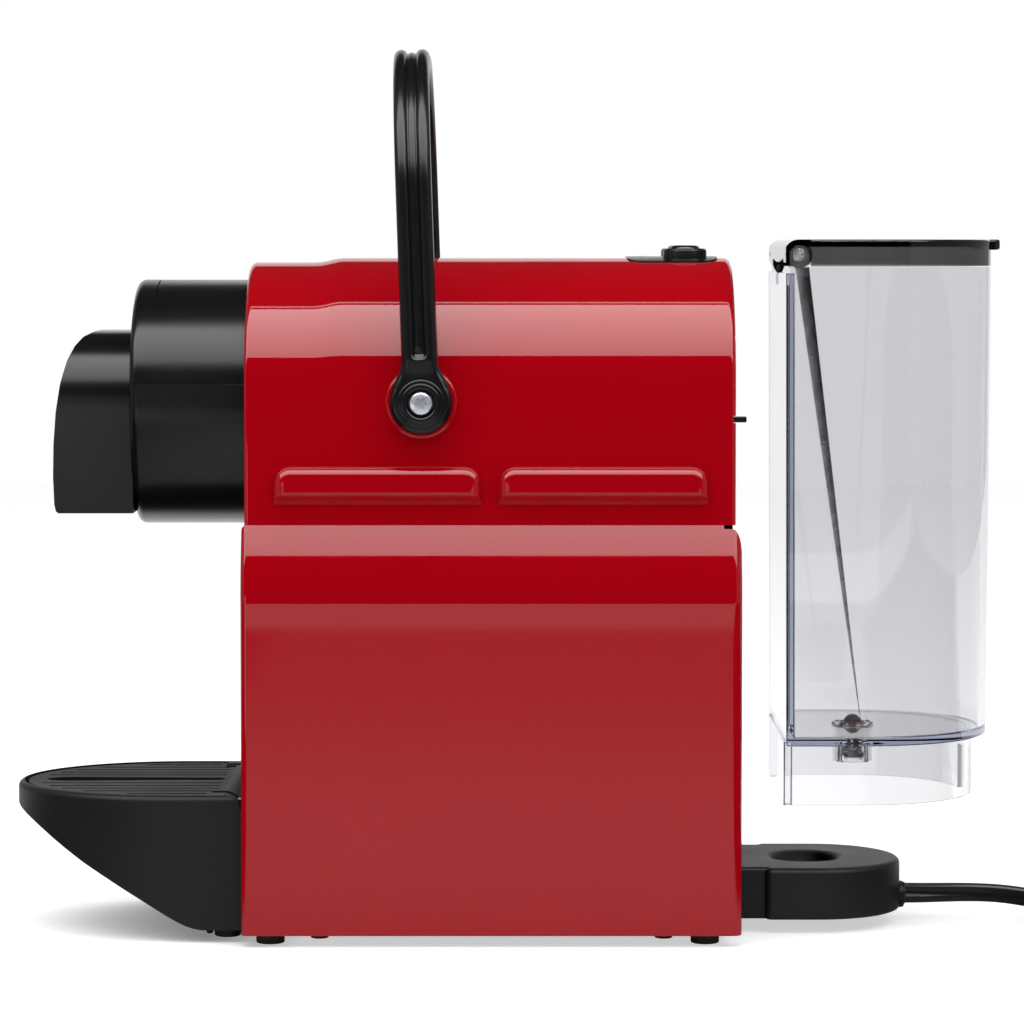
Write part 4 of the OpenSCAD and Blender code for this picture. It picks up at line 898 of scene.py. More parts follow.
@dataclass
class BrewingHead:
    """Round head in two covers, the spout cover and the nozzle."""

    size: HeadSizes = field(default_factory=HeadSizes)

    def crown(self, g: float, start: float, end: float, steps: int) -> list[Point]:
        """Part of the flatter arch over the split, set in by g, between two turns in degrees."""
        s = self.size
        turns = (math.radians(start + (end - start) * i / steps) for i in range(steps + 1))
        rise = s.axis_z + s.radius - s.split - g
        return [((s.radius - g) * math.cos(t), s.split + rise * math.sin(t)) for t in turns]

    def section(self, g: float) -> list[Point]:
        """Outline across the barrel, set in by g: round below, a flatter arch above."""
        s = self.size
        return [*arc(0, s.axis_z, s.radius - g, 180, 360, 72), *self.crown(g, 0, 180, 72)]

    def shell(self, name: str) -> bpy.types.Object:
        """The head's barrel, closed and round at the front, open at the rear."""
        s = self.size
        barrel = prism(name, self.section(0), Axis.X, s.front, s.back)
        rim(barrel, 2.7, lambda a, b: float(max(a.x, b.x) < s.front + 0.01))
        barrel = cut(barrel, prism("bore", self.section(2.5), Axis.X, s.front + 2.5, s.back + 1))
        return cut(barrel, slab("coffee_way", (s.front - 1, s.front + 3), (-7, 7), (s.axis_z - 9, s.axis_z + 3)))

    def covers(self) -> None:
        """Upper cover with the capsule slot, and lower cover."""
        s = self.size
        upper = cut(self.shell("head_top"), slab("under", (-140, -60), (-50, 50), (120, s.split + 0.12)))
        a, b, w = s.slot
        hole = prism("slot", round_rect(a, b, -w, w, 3), Axis.Z, s.axis_z + 20, 240)
        upper = cut(upper, hole)
        track = slab("track", (a, -60), (-w - 2.5, w + 2.5), (s.axis_z + 20, 240))
        track = cut(track, prism("track_floor", self.section(1.6), Axis.X, a - 5, -50))
        upper = cut(upper, track)
        lower = cut(self.shell("head_bottom"), slab("over", (-140, -60), (-50, 50), (s.split - 0.12, 240)))
        lower = cut(lower, slab("relief", (-89.5, -60), (-50, 50), (100, 140)))
        for piece, node in ((upper, "head_upper_cover"), (lower, "head_lower_cover")):
            rim(piece, 0.45, lambda p, q: self.parting(p, q))
            seat(smooth(piece, 30), "machine", "black_satin", SATIN_BLACK, node)

    def outer(self, p: Vector) -> bool:
        """Whether a point lies on the barrel's outer face."""
        s = self.size
        if p.z > s.split:
            rise = s.axis_z + s.radius - s.split
            return (p.y / s.radius) ** 2 + ((p.z - s.split) / rise) ** 2 > 0.998
        return (abs(p.y) if p.z > s.axis_z else math.hypot(p.y, p.z - s.axis_z)) > s.radius - 0.02

    def parting(self, p: Vector, q: Vector) -> float:
        """Rounds the outer edges along the parting line and round the slot."""
        s = self.size
        level = abs(p.z - q.z) < 0.01 and abs(p.z - s.split) < 0.2
        w = s.slot[2] + 2.51
        track = all(v.x > s.slot[0] - 0.01 and abs(v.y) < w and v.z > 210 for v in (p, q))
        return float(self.outer(p) and self.outer(q) and (level or track))

    def shutter(self) -> None:
        """Curved shutter that closes the capsule slot, flush with the barrel."""
        s = self.size
        a, b, w = s.slot
        turn = math.degrees(math.asin((w + 2.2) / s.radius))
        plate = self.crown(0.05, 90 - turn, 90 + turn, 36) + self.crown(1.4, 90 + turn, 90 - turn, 36)
        door = prism("slot_door", plate, Axis.X, a + 0.3, b + 2.5)
        ease(door, 0.35, 2, 50)
        seat(smooth(door, 30), "shutter", "black_satin", SATIN_BLACK, "slot_shutter")

    def arch(self, g: float) -> list[Point]:
        """Outline of the spout cover from the front, set in by g: it narrows to the foot."""
        s = self.size
        w, r = s.spout_half - g, s.spout_r - g
        right = [(w - s.spout_draft, s.spout_widest - 48), (w, s.spout_widest)]
        right += arc(w - r, s.spout_top - g - r, r, 0, 90, 24)
        return right + [(-u, v) for u, v in reversed(right)]

    def spout_cover(self) -> None:
        """Cover over the spout: an arch from the front, with a sloping face."""
        s = self.size
        side = [
            (-127, 205.4), (-138, 205.4), (-141.4, 204.9), (-144.6, 203.2), (-147.0, 200.2),
            (-149.2, 195.4), (-151.3, 187.5), (-152.8, 178.0), (-153.7, 167.0), (-154.0, 156.0),
            (-153.7, 146.5), (-153.2, 144.2), (-152.4, 143.5), (-127, 143.5),
        ]  # fmt: skip
        solid = prism("spout_skin", side, Axis.Y, -40, 40)
        w = s.spout_half
        solid = cut(solid, prism("arch", self.arch(0), Axis.X, -160, s.front), "INTERSECT")
        inner = [(x + 2.9 if x < -130 else x, z - 2.5 if z > 150 else z - 3) for x, z in side]
        hollow = prism("hollow", inner, Axis.Y, -40, 40)
        hollow = cut(hollow, prism("arch_in", self.arch(2.5), Axis.X, -150, s.front - 2.2), "INTERSECT")

        def front(a: Vector, b: Vector) -> float:
            """Widest round the sloping face, narrow at the foot, none at the head."""
            if max(a.x, b.x) > s.front - 0.1 or not self.on_front(a) or not self.on_front(b):
                return 0.0
            if max(a.z, b.z) < s.spout_foot + 0.1:
                return 0.12
            return 1.0 if max(a.z, b.z) > 150 else 0.55

        rim(solid, 5.5, lambda a, b: front(a, b) * (abs(a.y) > w - 8 or a.z > 196))
        solid = cut(solid, hollow)
        solid = cut(solid, slab("way", (-131, -126), (-7, 7), (s.axis_z - 9, s.axis_z + 3)))
        seat(smooth(solid, 28), "machine", "black_satin", SATIN_BLACK, "spout_cover")

    def on_front(self, p: Vector) -> bool:
        """Whether a point lies on the outline of the cover's arch."""
        s = self.size
        y, knee = abs(p.y), s.spout_top - s.spout_r
        if p.z <= knee:
            lean = s.spout_draft * max(s.spout_widest - p.z, 0) / 48
            return abs(y - s.spout_half + lean) < 0.05
        side = y - s.spout_half + s.spout_r
        return abs((p.z - knee if side < 0 else math.hypot(side, p.z - knee)) - s.spout_r) < 0.05

    def build(self) -> None:
        """Models the head, the spout cover and the nozzle."""
        self.covers()
        self.shutter()
        self.spout_cover()
        nozzle = softened("coffee_spout", "coffee_nozzle", 0.35)
        seat(nozzle, "machine", "black_satin", SATIN_BLACK, "coffee_spout")


# ---------- lever ----------


@dataclass(frozen=True)
class LeverSizes:
    """Sizes of the lever, in mm; its place is the pivot's."""

    pivot: Point = (-28.7, 182.0)
    lean: float = 1.9
    half: float = 60.0
    thick: float = 6.0
    bend: float = 46.0
    reach: float = 119.0
    groove_z: float = 16.3
    groove_r: float = 1.8
    foot: tuple[Point, ...] = (
        (6.05, 14.0), (6.3, 12.3), (6.9, 10.6), (7.8, 8.8), (8.7, 7.0), (9.5, 4.9), (10.1, 2.6),
        (10.14, 2.2),
    )  # fmt: skip
    stations: tuple[float, ...] = (
        2.2, 3.4, 4.9, 6.0, 7.0, 7.9, 8.8, 9.7, 10.6, 11.5, 12.3, 13.2, 14.0, 14.5, 14.6, 14.75,
        15.0, 15.3, 15.6, 15.9, 16.3, 16.6, 17.4, 18.2, 19.1,
    )  # fmt: skip
    profile: tuple[Point, ...] = (
        (-6.05, 2.3), (-6.0, 3.6), (-5.75, 4.6), (-5.2, 5.4), (-4.4, 5.85), (-3.6, 6.0),
        (-2.9, 5.9), (-2.35, 5.68), (-1.95, 5.3), (-1.75, 4.85), (-1.5, 4.58), (-1.15, 4.58),
        (-0.85, 4.8), (-0.3, 4.95), (0.3, 4.95), (0.85, 4.8), (1.15, 4.58), (1.5, 4.58),
        (1.75, 4.85), (1.95, 5.3), (2.35, 5.68), (2.9, 5.9), (3.6, 6.0), (4.4, 5.85),
        (5.2, 5.4), (5.75, 4.6), (6.0, 3.6), (6.05, 2.3), (5.95, 1.2), (5.5, 0.45),
        (4.8, 0.05), (4.2, 0.0), (-4.2, 0.0), (-4.8, 0.05), (-5.5, 0.45), (-5.95, 1.2),
    )  # fmt: skip


@dataclass
class Lever:
    """Arched lever with a grooved outer face, round bosses and bright screws."""

    size: LeverSizes = field(default_factory=LeverSizes)

    def foot(self, x: float, t: float, z: float) -> Point:
        """Place of a profile point at a height of the arm's foot, where it widens and its groove ends."""
        s = self.size
        wide = s.foot[0][0]
        for (w0, z0), (w1, z1) in zip(s.foot, s.foot[1:], strict=False):
            if z1 <= z <= z0:
                wide = w1 + (w0 - w1) * (z - z1) / (z0 - z1)
        way, side = abs(x), math.copysign(1, x)
        below = min(max((s.groove_z - z) / s.groove_r, 0), 1)
        open_r = math.sqrt(max(1 - below**2, 0.04))
        if t > 3.9 and way < 3.5:
            ridge = (t - 4.55) * min(max((19 - z) / 2.4, 0), 1) if way < 1.3 else 0
            way *= open_r + (1 - open_r) * way / 3.5
            t = 5.97 + (t - ridge - 5.97) * (1 - below)
        elif way > 3.5:
            way += wide - s.foot[0][0]
        sink = min(max((15 - z) / 6, 0), 1)
        return side * way, t - (0.52 * sink * sink * (3 - 2 * sink) if t > 3.9 else 0)

    def arch(self) -> bpy.types.Object:
        """Lays the profile from one foot up the arm, round both corners and down to the other."""
        s = self.size
        knee, mid, inner = s.reach - s.bend, s.half - s.bend, s.bend - s.thick
        turns = [math.pi / 2 * i / 28 for i in range(29)]
        half = []
        for z in s.stations:
            half.append([(x, -(s.half - s.thick) - t, z) for x, t in (self.foot(*p, z) for p in s.profile)])
        for a in turns:
            half.append([
                (x, -mid - (inner + t) * math.cos(a), knee + (inner + t) * math.sin(a)) for x, t in s.profile
            ])  # fmt: skip
        rows = half + [[(x, -y, z) for x, y, z in row] for row in reversed(half)]
        return skin("lever_arch", rows)

    def boss(self, side: int) -> bpy.types.Object:
        """Round boss that rises in two soft steps to the recess of the screw."""
        y, low = self.size.half, self.size.half - self.size.thick
        rings = [
            (low, 4.2), (low, 9.7), (low + 0.35, 10.2), (low + 1.0, 10.35), (y - 2.4, 10.35),
            (y - 1.7, 10.25), (y - 1.1, 9.9), (y - 0.72, 9.4), (y - 0.57, 8.8), (y - 0.54, 8.05),
            (y - 0.5, 7.88), (y - 0.38, 7.68), (y - 0.31, 7.5), (y - 0.28, 7.1), (y - 0.26, 6.68),
            (y - 0.21, 6.54), (y - 0.11, 6.34), (y - 0.05, 6.15), (y, 5.8), (y, 5.4),
            (y - 0.06, 5.12), (y - 0.25, 4.88), (y - 0.6, 4.72), (y - 2.6, 4.66), (y - 2.6, 4.2),
        ]  # fmt: skip
        return spun("boss", [(side * v, r) for v, r in rings], Axis.Y, (0, 0), 96, closed=True)

    def build(self) -> None:
        """Models the lever and its screws, leaned back about the pivot."""
        s = self.size
        lever = self.arch()
        for side in (1, -1):
            lever = cut(lever, rod("clear", Axis.Y, (0, 0), 9.2, side * 40, side * 70, 96))
        for side in (1, -1):
            lever = cut(lever, self.boss(side), "UNION")
        lever.name = "lever_skin"
        seat(smooth(self.placed(lever), 30), "lever", "black_satin", SATIN_BLACK, "lever_handle")
        screws = []
        for side in (1, -1):
            y = s.half
            head = [(side * v, r) for v, r in (
                (y - 2.6, 0), (y - 2.6, 3.85), (y - 1.2, 3.85), (y - 0.75, 3.6), (y - 0.5, 2.9),
                (y - 0.42, 0))]  # fmt: skip
            screw = spun(f"lever_screw_{'left' if side > 0 else 'right'}", head, Axis.Y, (0, 0), 48)
            lobes = [((1.75 + 0.42 * math.cos(6 * a)) * math.cos(a), (1.75 + 0.42 * math.cos(6 * a)) * math.sin(a))
                     for a in (math.tau * i / 72 for i in range(72))]  # fmt: skip
            screw = cut(screw, prism("drive", lobes, Axis.Y, side * (y - 1.8), side * (y + 1)))
            screws.append(seat(smooth(self.placed(screw), 30), "lever", "zinc", ZINC, "lever_screws"))
        LOG.info("lever with %d screws", len(screws))

    def placed(self, obj: bpy.types.Object) -> bpy.types.Object:
        """Leans a piece drawn about the pivot and moves it to its place."""
        s = self.size
        lean = Matrix.Rotation(math.radians(-s.lean), 4, "Y")
        obj.data.transform(Matrix.Translation(Axis.Y.at(*s.pivot, 0)) @ lean)
        return tidy(obj)


# ---------- controls ----------


@dataclass
class Controls:
    """The two push caps with their printed signs beside them."""

    centre_x: float = 60.7
    spread: float = 9.0
    caps: tuple[tuple[str, str, float], ...] = (
        ("espresso_key", "espresso_button", -9.0),
        ("lungo_key", "lungo_button", 9.0),
    )

    def build(self) -> None:
        """Models each cap with its dished top, and the signs."""
        for body, node, y in self.caps:
            low, high = (v / MM for v in (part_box(node)[0][2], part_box(node)[1][2]))
            y = (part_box(node)[0][1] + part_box(node)[1][1]) / 2 / MM
            profile = [
                (low, 0), (low, 5.3), (high - 1.6, 5.3), (high - 0.9, 5.15), (high - 0.3, 4.7),
                (high, 4.0), (high - 0.1, 3.3), (high - 0.45, 2.2), (high - 0.65, 0),
            ]  # fmt: skip
            cap = spun(f"{body}_cap", profile, Axis.Z, (self.centre_x, y), 64)
            seat(smooth(cap, 40), body, "black_gloss", GLOSS_BLACK, node)
        for y, count in ((-9.0, 1), (9.0, 2)):
            for i in range(count):
                x = 46.0 + (i - (count - 1) / 2) * 3.2
                z = 230.5
                sign = rod(f"sign_{count}_{i}", Axis.Z, (x, y), 1.0, z - 0.02, z + 0.05, 24)
                seat(smooth(sign), "machine", "white_plastic", PRINT)


# ---------- drip tray and drawer ----------


@dataclass
class DripTray:
    """Boat-shaped tray with its grid, and the fold-down hinge at its rear."""

    tip: float = -169.4
    half_length: float = 56.0
    half_width: float = 47.0
    rear: float = -89.4

    def plan(self, inset: float, rear: float) -> list[Point]:
        """Outline from above, set in by a distance, ending at a place behind."""
        a, b, xc = self.half_length - inset, self.half_width - inset, self.tip + self.half_length
        turn = [math.radians(90 + 180 * i / 72) for i in range(73)]
        nose = [(xc + a * math.cos(t), b * math.sin(t)) for t in turn]
        return [(rear, b), *nose, (rear, -b)]

    def side(self, g: float, rear: float) -> list[Point]:
        """Outline from the side: level band, then the keel down to the rear."""
        keel = [
            (self.tip, 43.0), (self.tip + 0.5, 42.2), (-167.6, 41.4), (-165.1, 40.1), (-161.8, 38.2),
            (-158.4, 36.1), (-152.2, 32.0), (-143.4, 26.3), (-134.2, 20.9), (-123.9, 14.8),
            (-114.3, 8.9), (-110.6, 6.8), (-108.0, 5.6), (-105.4, 4.75), (-103.0, 4.35), (-101.0, 4.3),
        ]  # fmt: skip
        keel = [(min(x + (g if x < -167 else g * 0.5), rear), z + g) for x, z in keel]
        keel = [(self.tip + g, 55), *keel, (rear, 4.3 + g), (rear, 55)]
        return keel

    def build(self) -> None:
        """Models the tray with its pads and the way for its pin, and its grid."""
        hinge = (-95.9, 43.2)
        body = prism("tray_skin", self.plan(0, self.rear), Axis.Z, -2, 49.7)
        rim(body, 2.1, lambda p, q: float(min(p.z, q.z) > 49.69 and min(p.x, q.x) < self.rear - 0.1))
        side = self.side(0, self.rear)[:-1]
        side += [*arc(*hinge, 6.5, 0, 90, 12), (-95.9, 55)]
        body = cut(body, prism("tray_side", side, Axis.Y, -60, 60), "INTERSECT")
        ease(body, 0.9, 3, 40)
        hollow = prism("tray_inside", self.plan(2.0, -101.9), Axis.Z, 0, 60)
        hollow = cut(hollow, prism("tray_in", self.side(2.0, -101.9), Axis.Y, -60, 60), "INTERSECT")
        body = cut(body, hollow)
        body = cut(body, prism("grid_seat", self.plan(3.1, -99.9), Axis.Z, 46.7, 60))
        body = cut(body, slab("rear_seat", (-104, -96.2), (-32.6, 32.6), (46.7, 60)))
        for y in (38.3, -38.3):
            for x, r, low in ((-94.6, 4.5, 1.2), (-100.7, 1.15, 1.9)):
                pad = rod("pad", Axis.Z, (x, y), r, low, 6.2, 48)
                rim(pad, 0.7, lambda p, q, low=low: float(max(p.z, q.z) < low + 0.01))
                body = cut(body, pad, "UNION")
        for y in (1, -1):
            body = cut(body, slab("lug_gap", (-101.4, -80), (y * 33.5, y * 38.5), (-1, 60)))
        body = cut(body, rod("pin_way", Axis.Y, hinge, 2.0, -43, 43, 32))
        seat(smooth(body, 32), "tray", "black_satin", MATT_BLACK, "drip_tray")
        self.grid()

    def grid(self) -> None:
        """Models the grid: one wide slot and ten narrow ones that follow the outline."""
        plate = prism("tray_grid", self.plan(3.4, -100.1), Axis.Z, 46.9, 49.3)
        plate = cut(plate, slab("rear_land", (-104, -96.4), (-32.4, 32.4), (46.9, 49.3)), "UNION")
        wide = [(-160.2, 0), (-158.8, 2.2), (-156, 4.2), (-152.5, 5.2), (-147, 5.0), (-138, 4.4),
                (-124, 3.7), (-108, 3.1), (-100, 2.8), (-98.4, 1.8), (-97.8, 0)]  # fmt: skip
        wide += [(x, -y) for x, y in reversed(wide[1:-1])]
        plate = cut(plate, prism("wide_slot", wide, Axis.Z, 40, 60))
        slots = [(s * y, 0.85) for y in (10.5, 17.3, 24.1, 30.9, 37.7) for s in (1, -1)]
        a, b, xc = self.half_length - 7.2, self.half_width - 7.2, self.tip + self.half_length
        for y, half in slots:
            x0 = xc - a * math.sqrt(1 - (y / b) ** 2)
            end = -98.2 if abs(y) < 33 else -101.6
            plate = cut(plate, prism("grid_slot", round_rect(x0, end, y - half, y + half, half * 0.98, 6),
                                     Axis.Z, 40, 60))  # fmt: skip
        rim(plate, 0.4, lambda p, q: float(min(p.z, q.z) > 49.29))
        seat(smooth(plate, 32), "grid", "black_satin", GRID_BLACK, "drip_grid")


# A finer eroded mould than the tray's
BASE_BLACK = Finish(
    "abs_matt_black_fine", "#0D0C0E", "#121113", (0.42, 0.5), ior=1.42, grain_mm=0.7, grain_depth=0.009, fleck=0.1
)
# The same plastic as the tray, painted a little paler all over for the light on its upward face, with a weaker
# reflection
GRID_BLACK = Finish(
    "abs_matt_black_grid", "#131214", "#181719", (0.52, 0.6), ior=1.27, grain_mm=0.8, grain_depth=0.01, fleck=0.1
)


# ---------- tank ----------


@dataclass
class WaterTank:
    """Clear tank, smoked lid and the valve below."""

    x0: float = 93.0
    xc: float = 119.5
    half: float = 47.0

    def plan(self, g: float, x0: float | None = None, half: float | None = None) -> list[Point]:
        """D-shaped outline with its flat side to the front, set in by g."""
        start = (self.x0 if x0 is None else x0) + g
        r = (self.half if half is None else half) - g
        corner = 0.8
        front = arc(start + corner, r - corner, corner, 90, 180, 6)
        return [*arc(self.xc, 0, r, -90, 90, 72), *front, *((x, -y) for x, y in reversed(front))]

    def tank(self) -> bpy.types.Object:
        """Tank with a floor, walls, skirt, notches and the ears of the lid's hinge."""
        z0, z1 = 66.2, 227.0

        def drafted(obj: bpy.types.Object, low: float) -> bpy.types.Object:
            """Draws a form's lower end in, as a moulded wall needs."""
            pick(obj, Part.VERT, lambda p: p.z < low + 0.01)
            bpy.ops.transform.resize(value=(0.978, 0.978, 1), center_override=(self.xc * MM, 0, low * MM))
            bpy.ops.object.mode_set(mode="OBJECT")
            return obj

        body = drafted(prism("tank_skin", self.plan(0), Axis.Z, z0, z1), z0)
        rim(body, 1.6, lambda p, q: float(max(p.z, q.z) < z0 + 0.01))
        skirt = prism("skirt", self.plan(0, half=41.1), Axis.Z, 45.7, z0 + 1)
        body = cut(body, skirt, "UNION")
        hollow = drafted(prism("hollow", self.plan(2.5), Axis.Z, z0 + 2.5, 240), z0 + 2.5)
        rim(hollow, 1.8, lambda p, q: float(max(p.z, q.z) < z0 + 2.51))
        body = cut(body, hollow)
        body = cut(body, prism("skirt_in", self.plan(2.5, half=41.1), Axis.Z, 40, z0))
        body = cut(body, slab("passage", (80, 96.5), (-31, 31), (40, z0)))
        body = cut(body, slab("lead_notch", (139.5, 170), (-5, 5), (40, 61.2)))
        body = cut(body, slab("front_rim", (80, 96.0), (-50, 50), (z1 - 2, 240)))
        body = cut(body, slab("claw_notch", (80, 96.0), (-7, 7), (z1 - 6.2, 240)))
        body = cut(body, rod("valve_hole", Axis.Z, (self.xc, 0), 3.4, 60, 72, 48))
        for side in (1, -1):
            y0, y1 = side * (self.half - 2.4), side * self.half
            ear = [(94.2, 224), (100.6, 224), (100.6, 231.2), *arc(97.4, 231.2, 3.2, 0, 180, 18)[1:-1],
                   (94.2, 231.2)]  # fmt: skip
            body = cut(body, prism("ear", ear, Axis.Y, y0, y1), "UNION")
            ends = [(38.5, 1.1), (38.5, 2.0), (self.half, 2.0), (self.half, 1.1)]
            pin = spun("pin", [(side * v, r) for v, r in ends], Axis.Y, (97.4, 231.2), 40, closed=True)
            body = cut(body, rod("hole", Axis.Y, (97.4, 231.2), 1.6, y0 - 5, y1 + 5, 40))
            body = cut(body, pin, "UNION")
        seat_ring = [(z0 + 2.4, 3.4), (z0 + 2.4, 7.4), (z0 + 3.1, 7.3), (z0 + 3.4, 6.9), (z0 + 3.4, 6.3),
                     (z0 + 2.9, 5.9), (z0 + 2.9, 3.4)]  # fmt: skip
        return cut(body, spun("seat_ring", seat_ring, Axis.Z, (self.xc, 0), 64, closed=True), "UNION")

    def lid(self) -> bpy.types.Object:
        """Lid with a wall round it, hinge bosses, a hooked claw in front and a finger tab behind."""
        z0, z1, px, pz = 227.3, 236.3, 97.4, 231.2
        body = prism("lid_skin", self.plan(0), Axis.Z, z0, z1)
        rim(body, 1.1, lambda a, b: float(min(a.z, b.z) > z1 - 0.01))
        nose = [*arc(px, pz, z1 - pz, 90, 270, 36), (200, 226), (200, z1)]
        body = cut(body, prism("nose", nose, Axis.Y, -60, 60), "INTERSECT")
        body = cut(body, prism("under", self.plan(2.5), Axis.Z, z0 - 2, z1 - 2.5))
        hook = [
            (91.2, 229.9), (91.1, 228.2), (91.4, 226.8), (92.1, 225.5), (93.0, 224.5), (93.9, 224.2),
            (94.9, 226.2), (95.8, 230.5), (95.8, 234.2), (94.2, 234.2), (94.0, 229.3), (93.3, 228.7),
            (92.5, 228.7), (91.8, 229.2),
        ]  # fmt: skip
        claw = ease(prism("claw", hook, Axis.Y, -6, 6), 0.3, 2, 40)
        tab = prism("tab", round_rect(160.5, 169.4, -6.5, 6.5, 3.0), Axis.Z, 232.7, z1)
        for piece in (claw, ease(tab, 0.7, 3, 60)):
            body = cut(body, piece, "UNION")
        for side in (1, -1):
            body = cut(body, slab("ear_gap", (90, 101.3), (side * 44.2, side * 50), (220, 240)))
            boss = rod("boss", Axis.Y, (px, pz), 4.5, side * 38.5, side * 44.2, 64)
            body = cut(body, boss, "UNION")
            body = cut(body, rod("bore", Axis.Y, (px, pz), 2.25, side * 37, side * 46, 40))
        return body

    def build(self) -> None:
        """Models the tank, lid and valve."""
        body = self.tank()
        rim(body, 0.5, lambda p, q: float(min(p.z, q.z) > 226.99 and abs(p.y) < 46.9))
        seat(smooth(body, 32), "tank", "tank_clear", CLEAR_SAN, "water_tank")
        seat(smooth(self.lid(), 32), "lid", "lid_smoke", SMOKE_SAN, "tank_lid")
        guide = softened("valve_guide", "guide_skin", 0.12)
        seat(guide, "tank", "tank_clear", CLEAR_SAN, "valve_guide")
        plunger = softened("valve_plunger", "plunger_skin", 0.15)
        seat(plunger, "valve", "black_satin", SATIN_BLACK, "valve_plunger")
        self.spring()

    def spring(self) -> None:
        """Models the valve's spring as one wound wire."""
        low, high = (v / MM for v in (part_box("valve_spring")[0][2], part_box("valve_spring")[1][2]))
        rows: list[Row] = []
        turns, wire, r = 4.5, 0.42, 3.0
        count = int(turns * 24)
        for i in range(count + 1):
            a = math.tau * turns * i / count
            z = low + wire + (high - low - 2 * wire) * i / count
            rows.append([
                (self.xc + (r + wire * math.cos(b)) * math.cos(a),
                 (r + wire * math.cos(b)) * math.sin(a), z + wire * math.sin(b))
                for b in (math.tau * k / 10 for k in range(10))])  # fmt: skip
        coil = skin("spring_wire", rows)
        seat(smooth(coil, 50), "tank", "steel", STEEL, "valve_spring")


@dataclass
class TankBase:
    """Low round base behind the housing that carries the tank, with a dished water socket."""

    low: float = 4.9
    top: float = 22.5
    radius: float = 30.0
    centre: float = 106.0
    front: float = 87.7
    neck_half: float = 27.0
    socket: float = 103.1

    def build(self) -> None:
        """Models the base, its neck into the housing, the socket and the lead's gland."""
        r, low, top = self.radius, self.low, self.top
        corner = [(self.front + 2.5 - 2.5 * math.sin(a), r - 2.5 + 2.5 * math.cos(a))
                  for a in (math.radians(15 * i) for i in range(7))]  # fmt: skip
        plan = [*arc(self.centre, 0, r, -90, 90, 72), *corner, *((x, -y) for x, y in reversed(corner))]
        base = prism("tank_base_skin", plan, Axis.Z, low, top)

        def edge(a: Vector, b: Vector) -> float:
            """Full rounding on top, less below, none on upright edges."""
            return 0.0 if abs(a.z - b.z) > 0.1 else (1.0 if a.z > top - 0.1 else 0.45)

        rim(base, 2.1, edge)
        neck = slab("neck", (66.3, self.front + 4), (-self.neck_half, self.neck_half), (low, top))
        rim(neck, 1.5, lambda a, b: edge(a, b) * (abs(a.y - b.y) < 0.1))
        neck = cut(neck, slab("step", (60, 77.3), (-40, 40), (0, 6.6)))
        base = cut(base, neck, "UNION")
        gland = [(126, 0), (126, 4.6), (136.7, 4.6), (137.3, 4.4), (137.5, 4.1), (137.5, 0)]
        base = cut(base, spun("gland", gland, Axis.X, (0, 9.1), 48), "UNION")
        dish = [(top + 2, 0), (top + 2, 14.6), (top, 13.9), (top - 0.25, 12.9), (top - 0.9, 12.0),
                (top - 2.2, 11.1), (18.0, 9.9), (14.6, 8.3), (12.7, 7.4), (12.2, 6.9), (12.2, 0)]  # fmt: skip
        base = cut(base, spun("dish", dish, Axis.Z, (self.socket, 0), 96))
        base = cut(base, rod("water_way", Axis.X, (0, 9.3), 1.5, 60, self.socket, 32))
        base = cut(base, rod("water_drop", Axis.Z, (self.socket, 0), 1.5, 9.3, 14, 32))
        seat(smooth(base, 30), "machine", "black_satin", BASE_BLACK, "tank_base")


# ---------- power lead ----------


@dataclass(frozen=True)
class LeadSizes:
    """Sizes of the twin lead and how it lies, in mm.

    Attributes:
        strand: Radius of one strand.
        pitch: Distance between the middles of the strands.
        exit: Where the lead leaves the tank base.
        coil: Centre of the coil.
        coil_r: Radius of the coil.
        turns: Turns of the coil.
        rise: Rise in each turn.
    """

    strand: float = 1.78
    pitch: float = 3.44
    exit: tuple[float, float, float] = (138.0, 0.0, 9.5)
    coil: Point = (221.0, -42.0)
    coil_r: float = 42.0
    turns: float = 2.25
    rise: float = 7.2


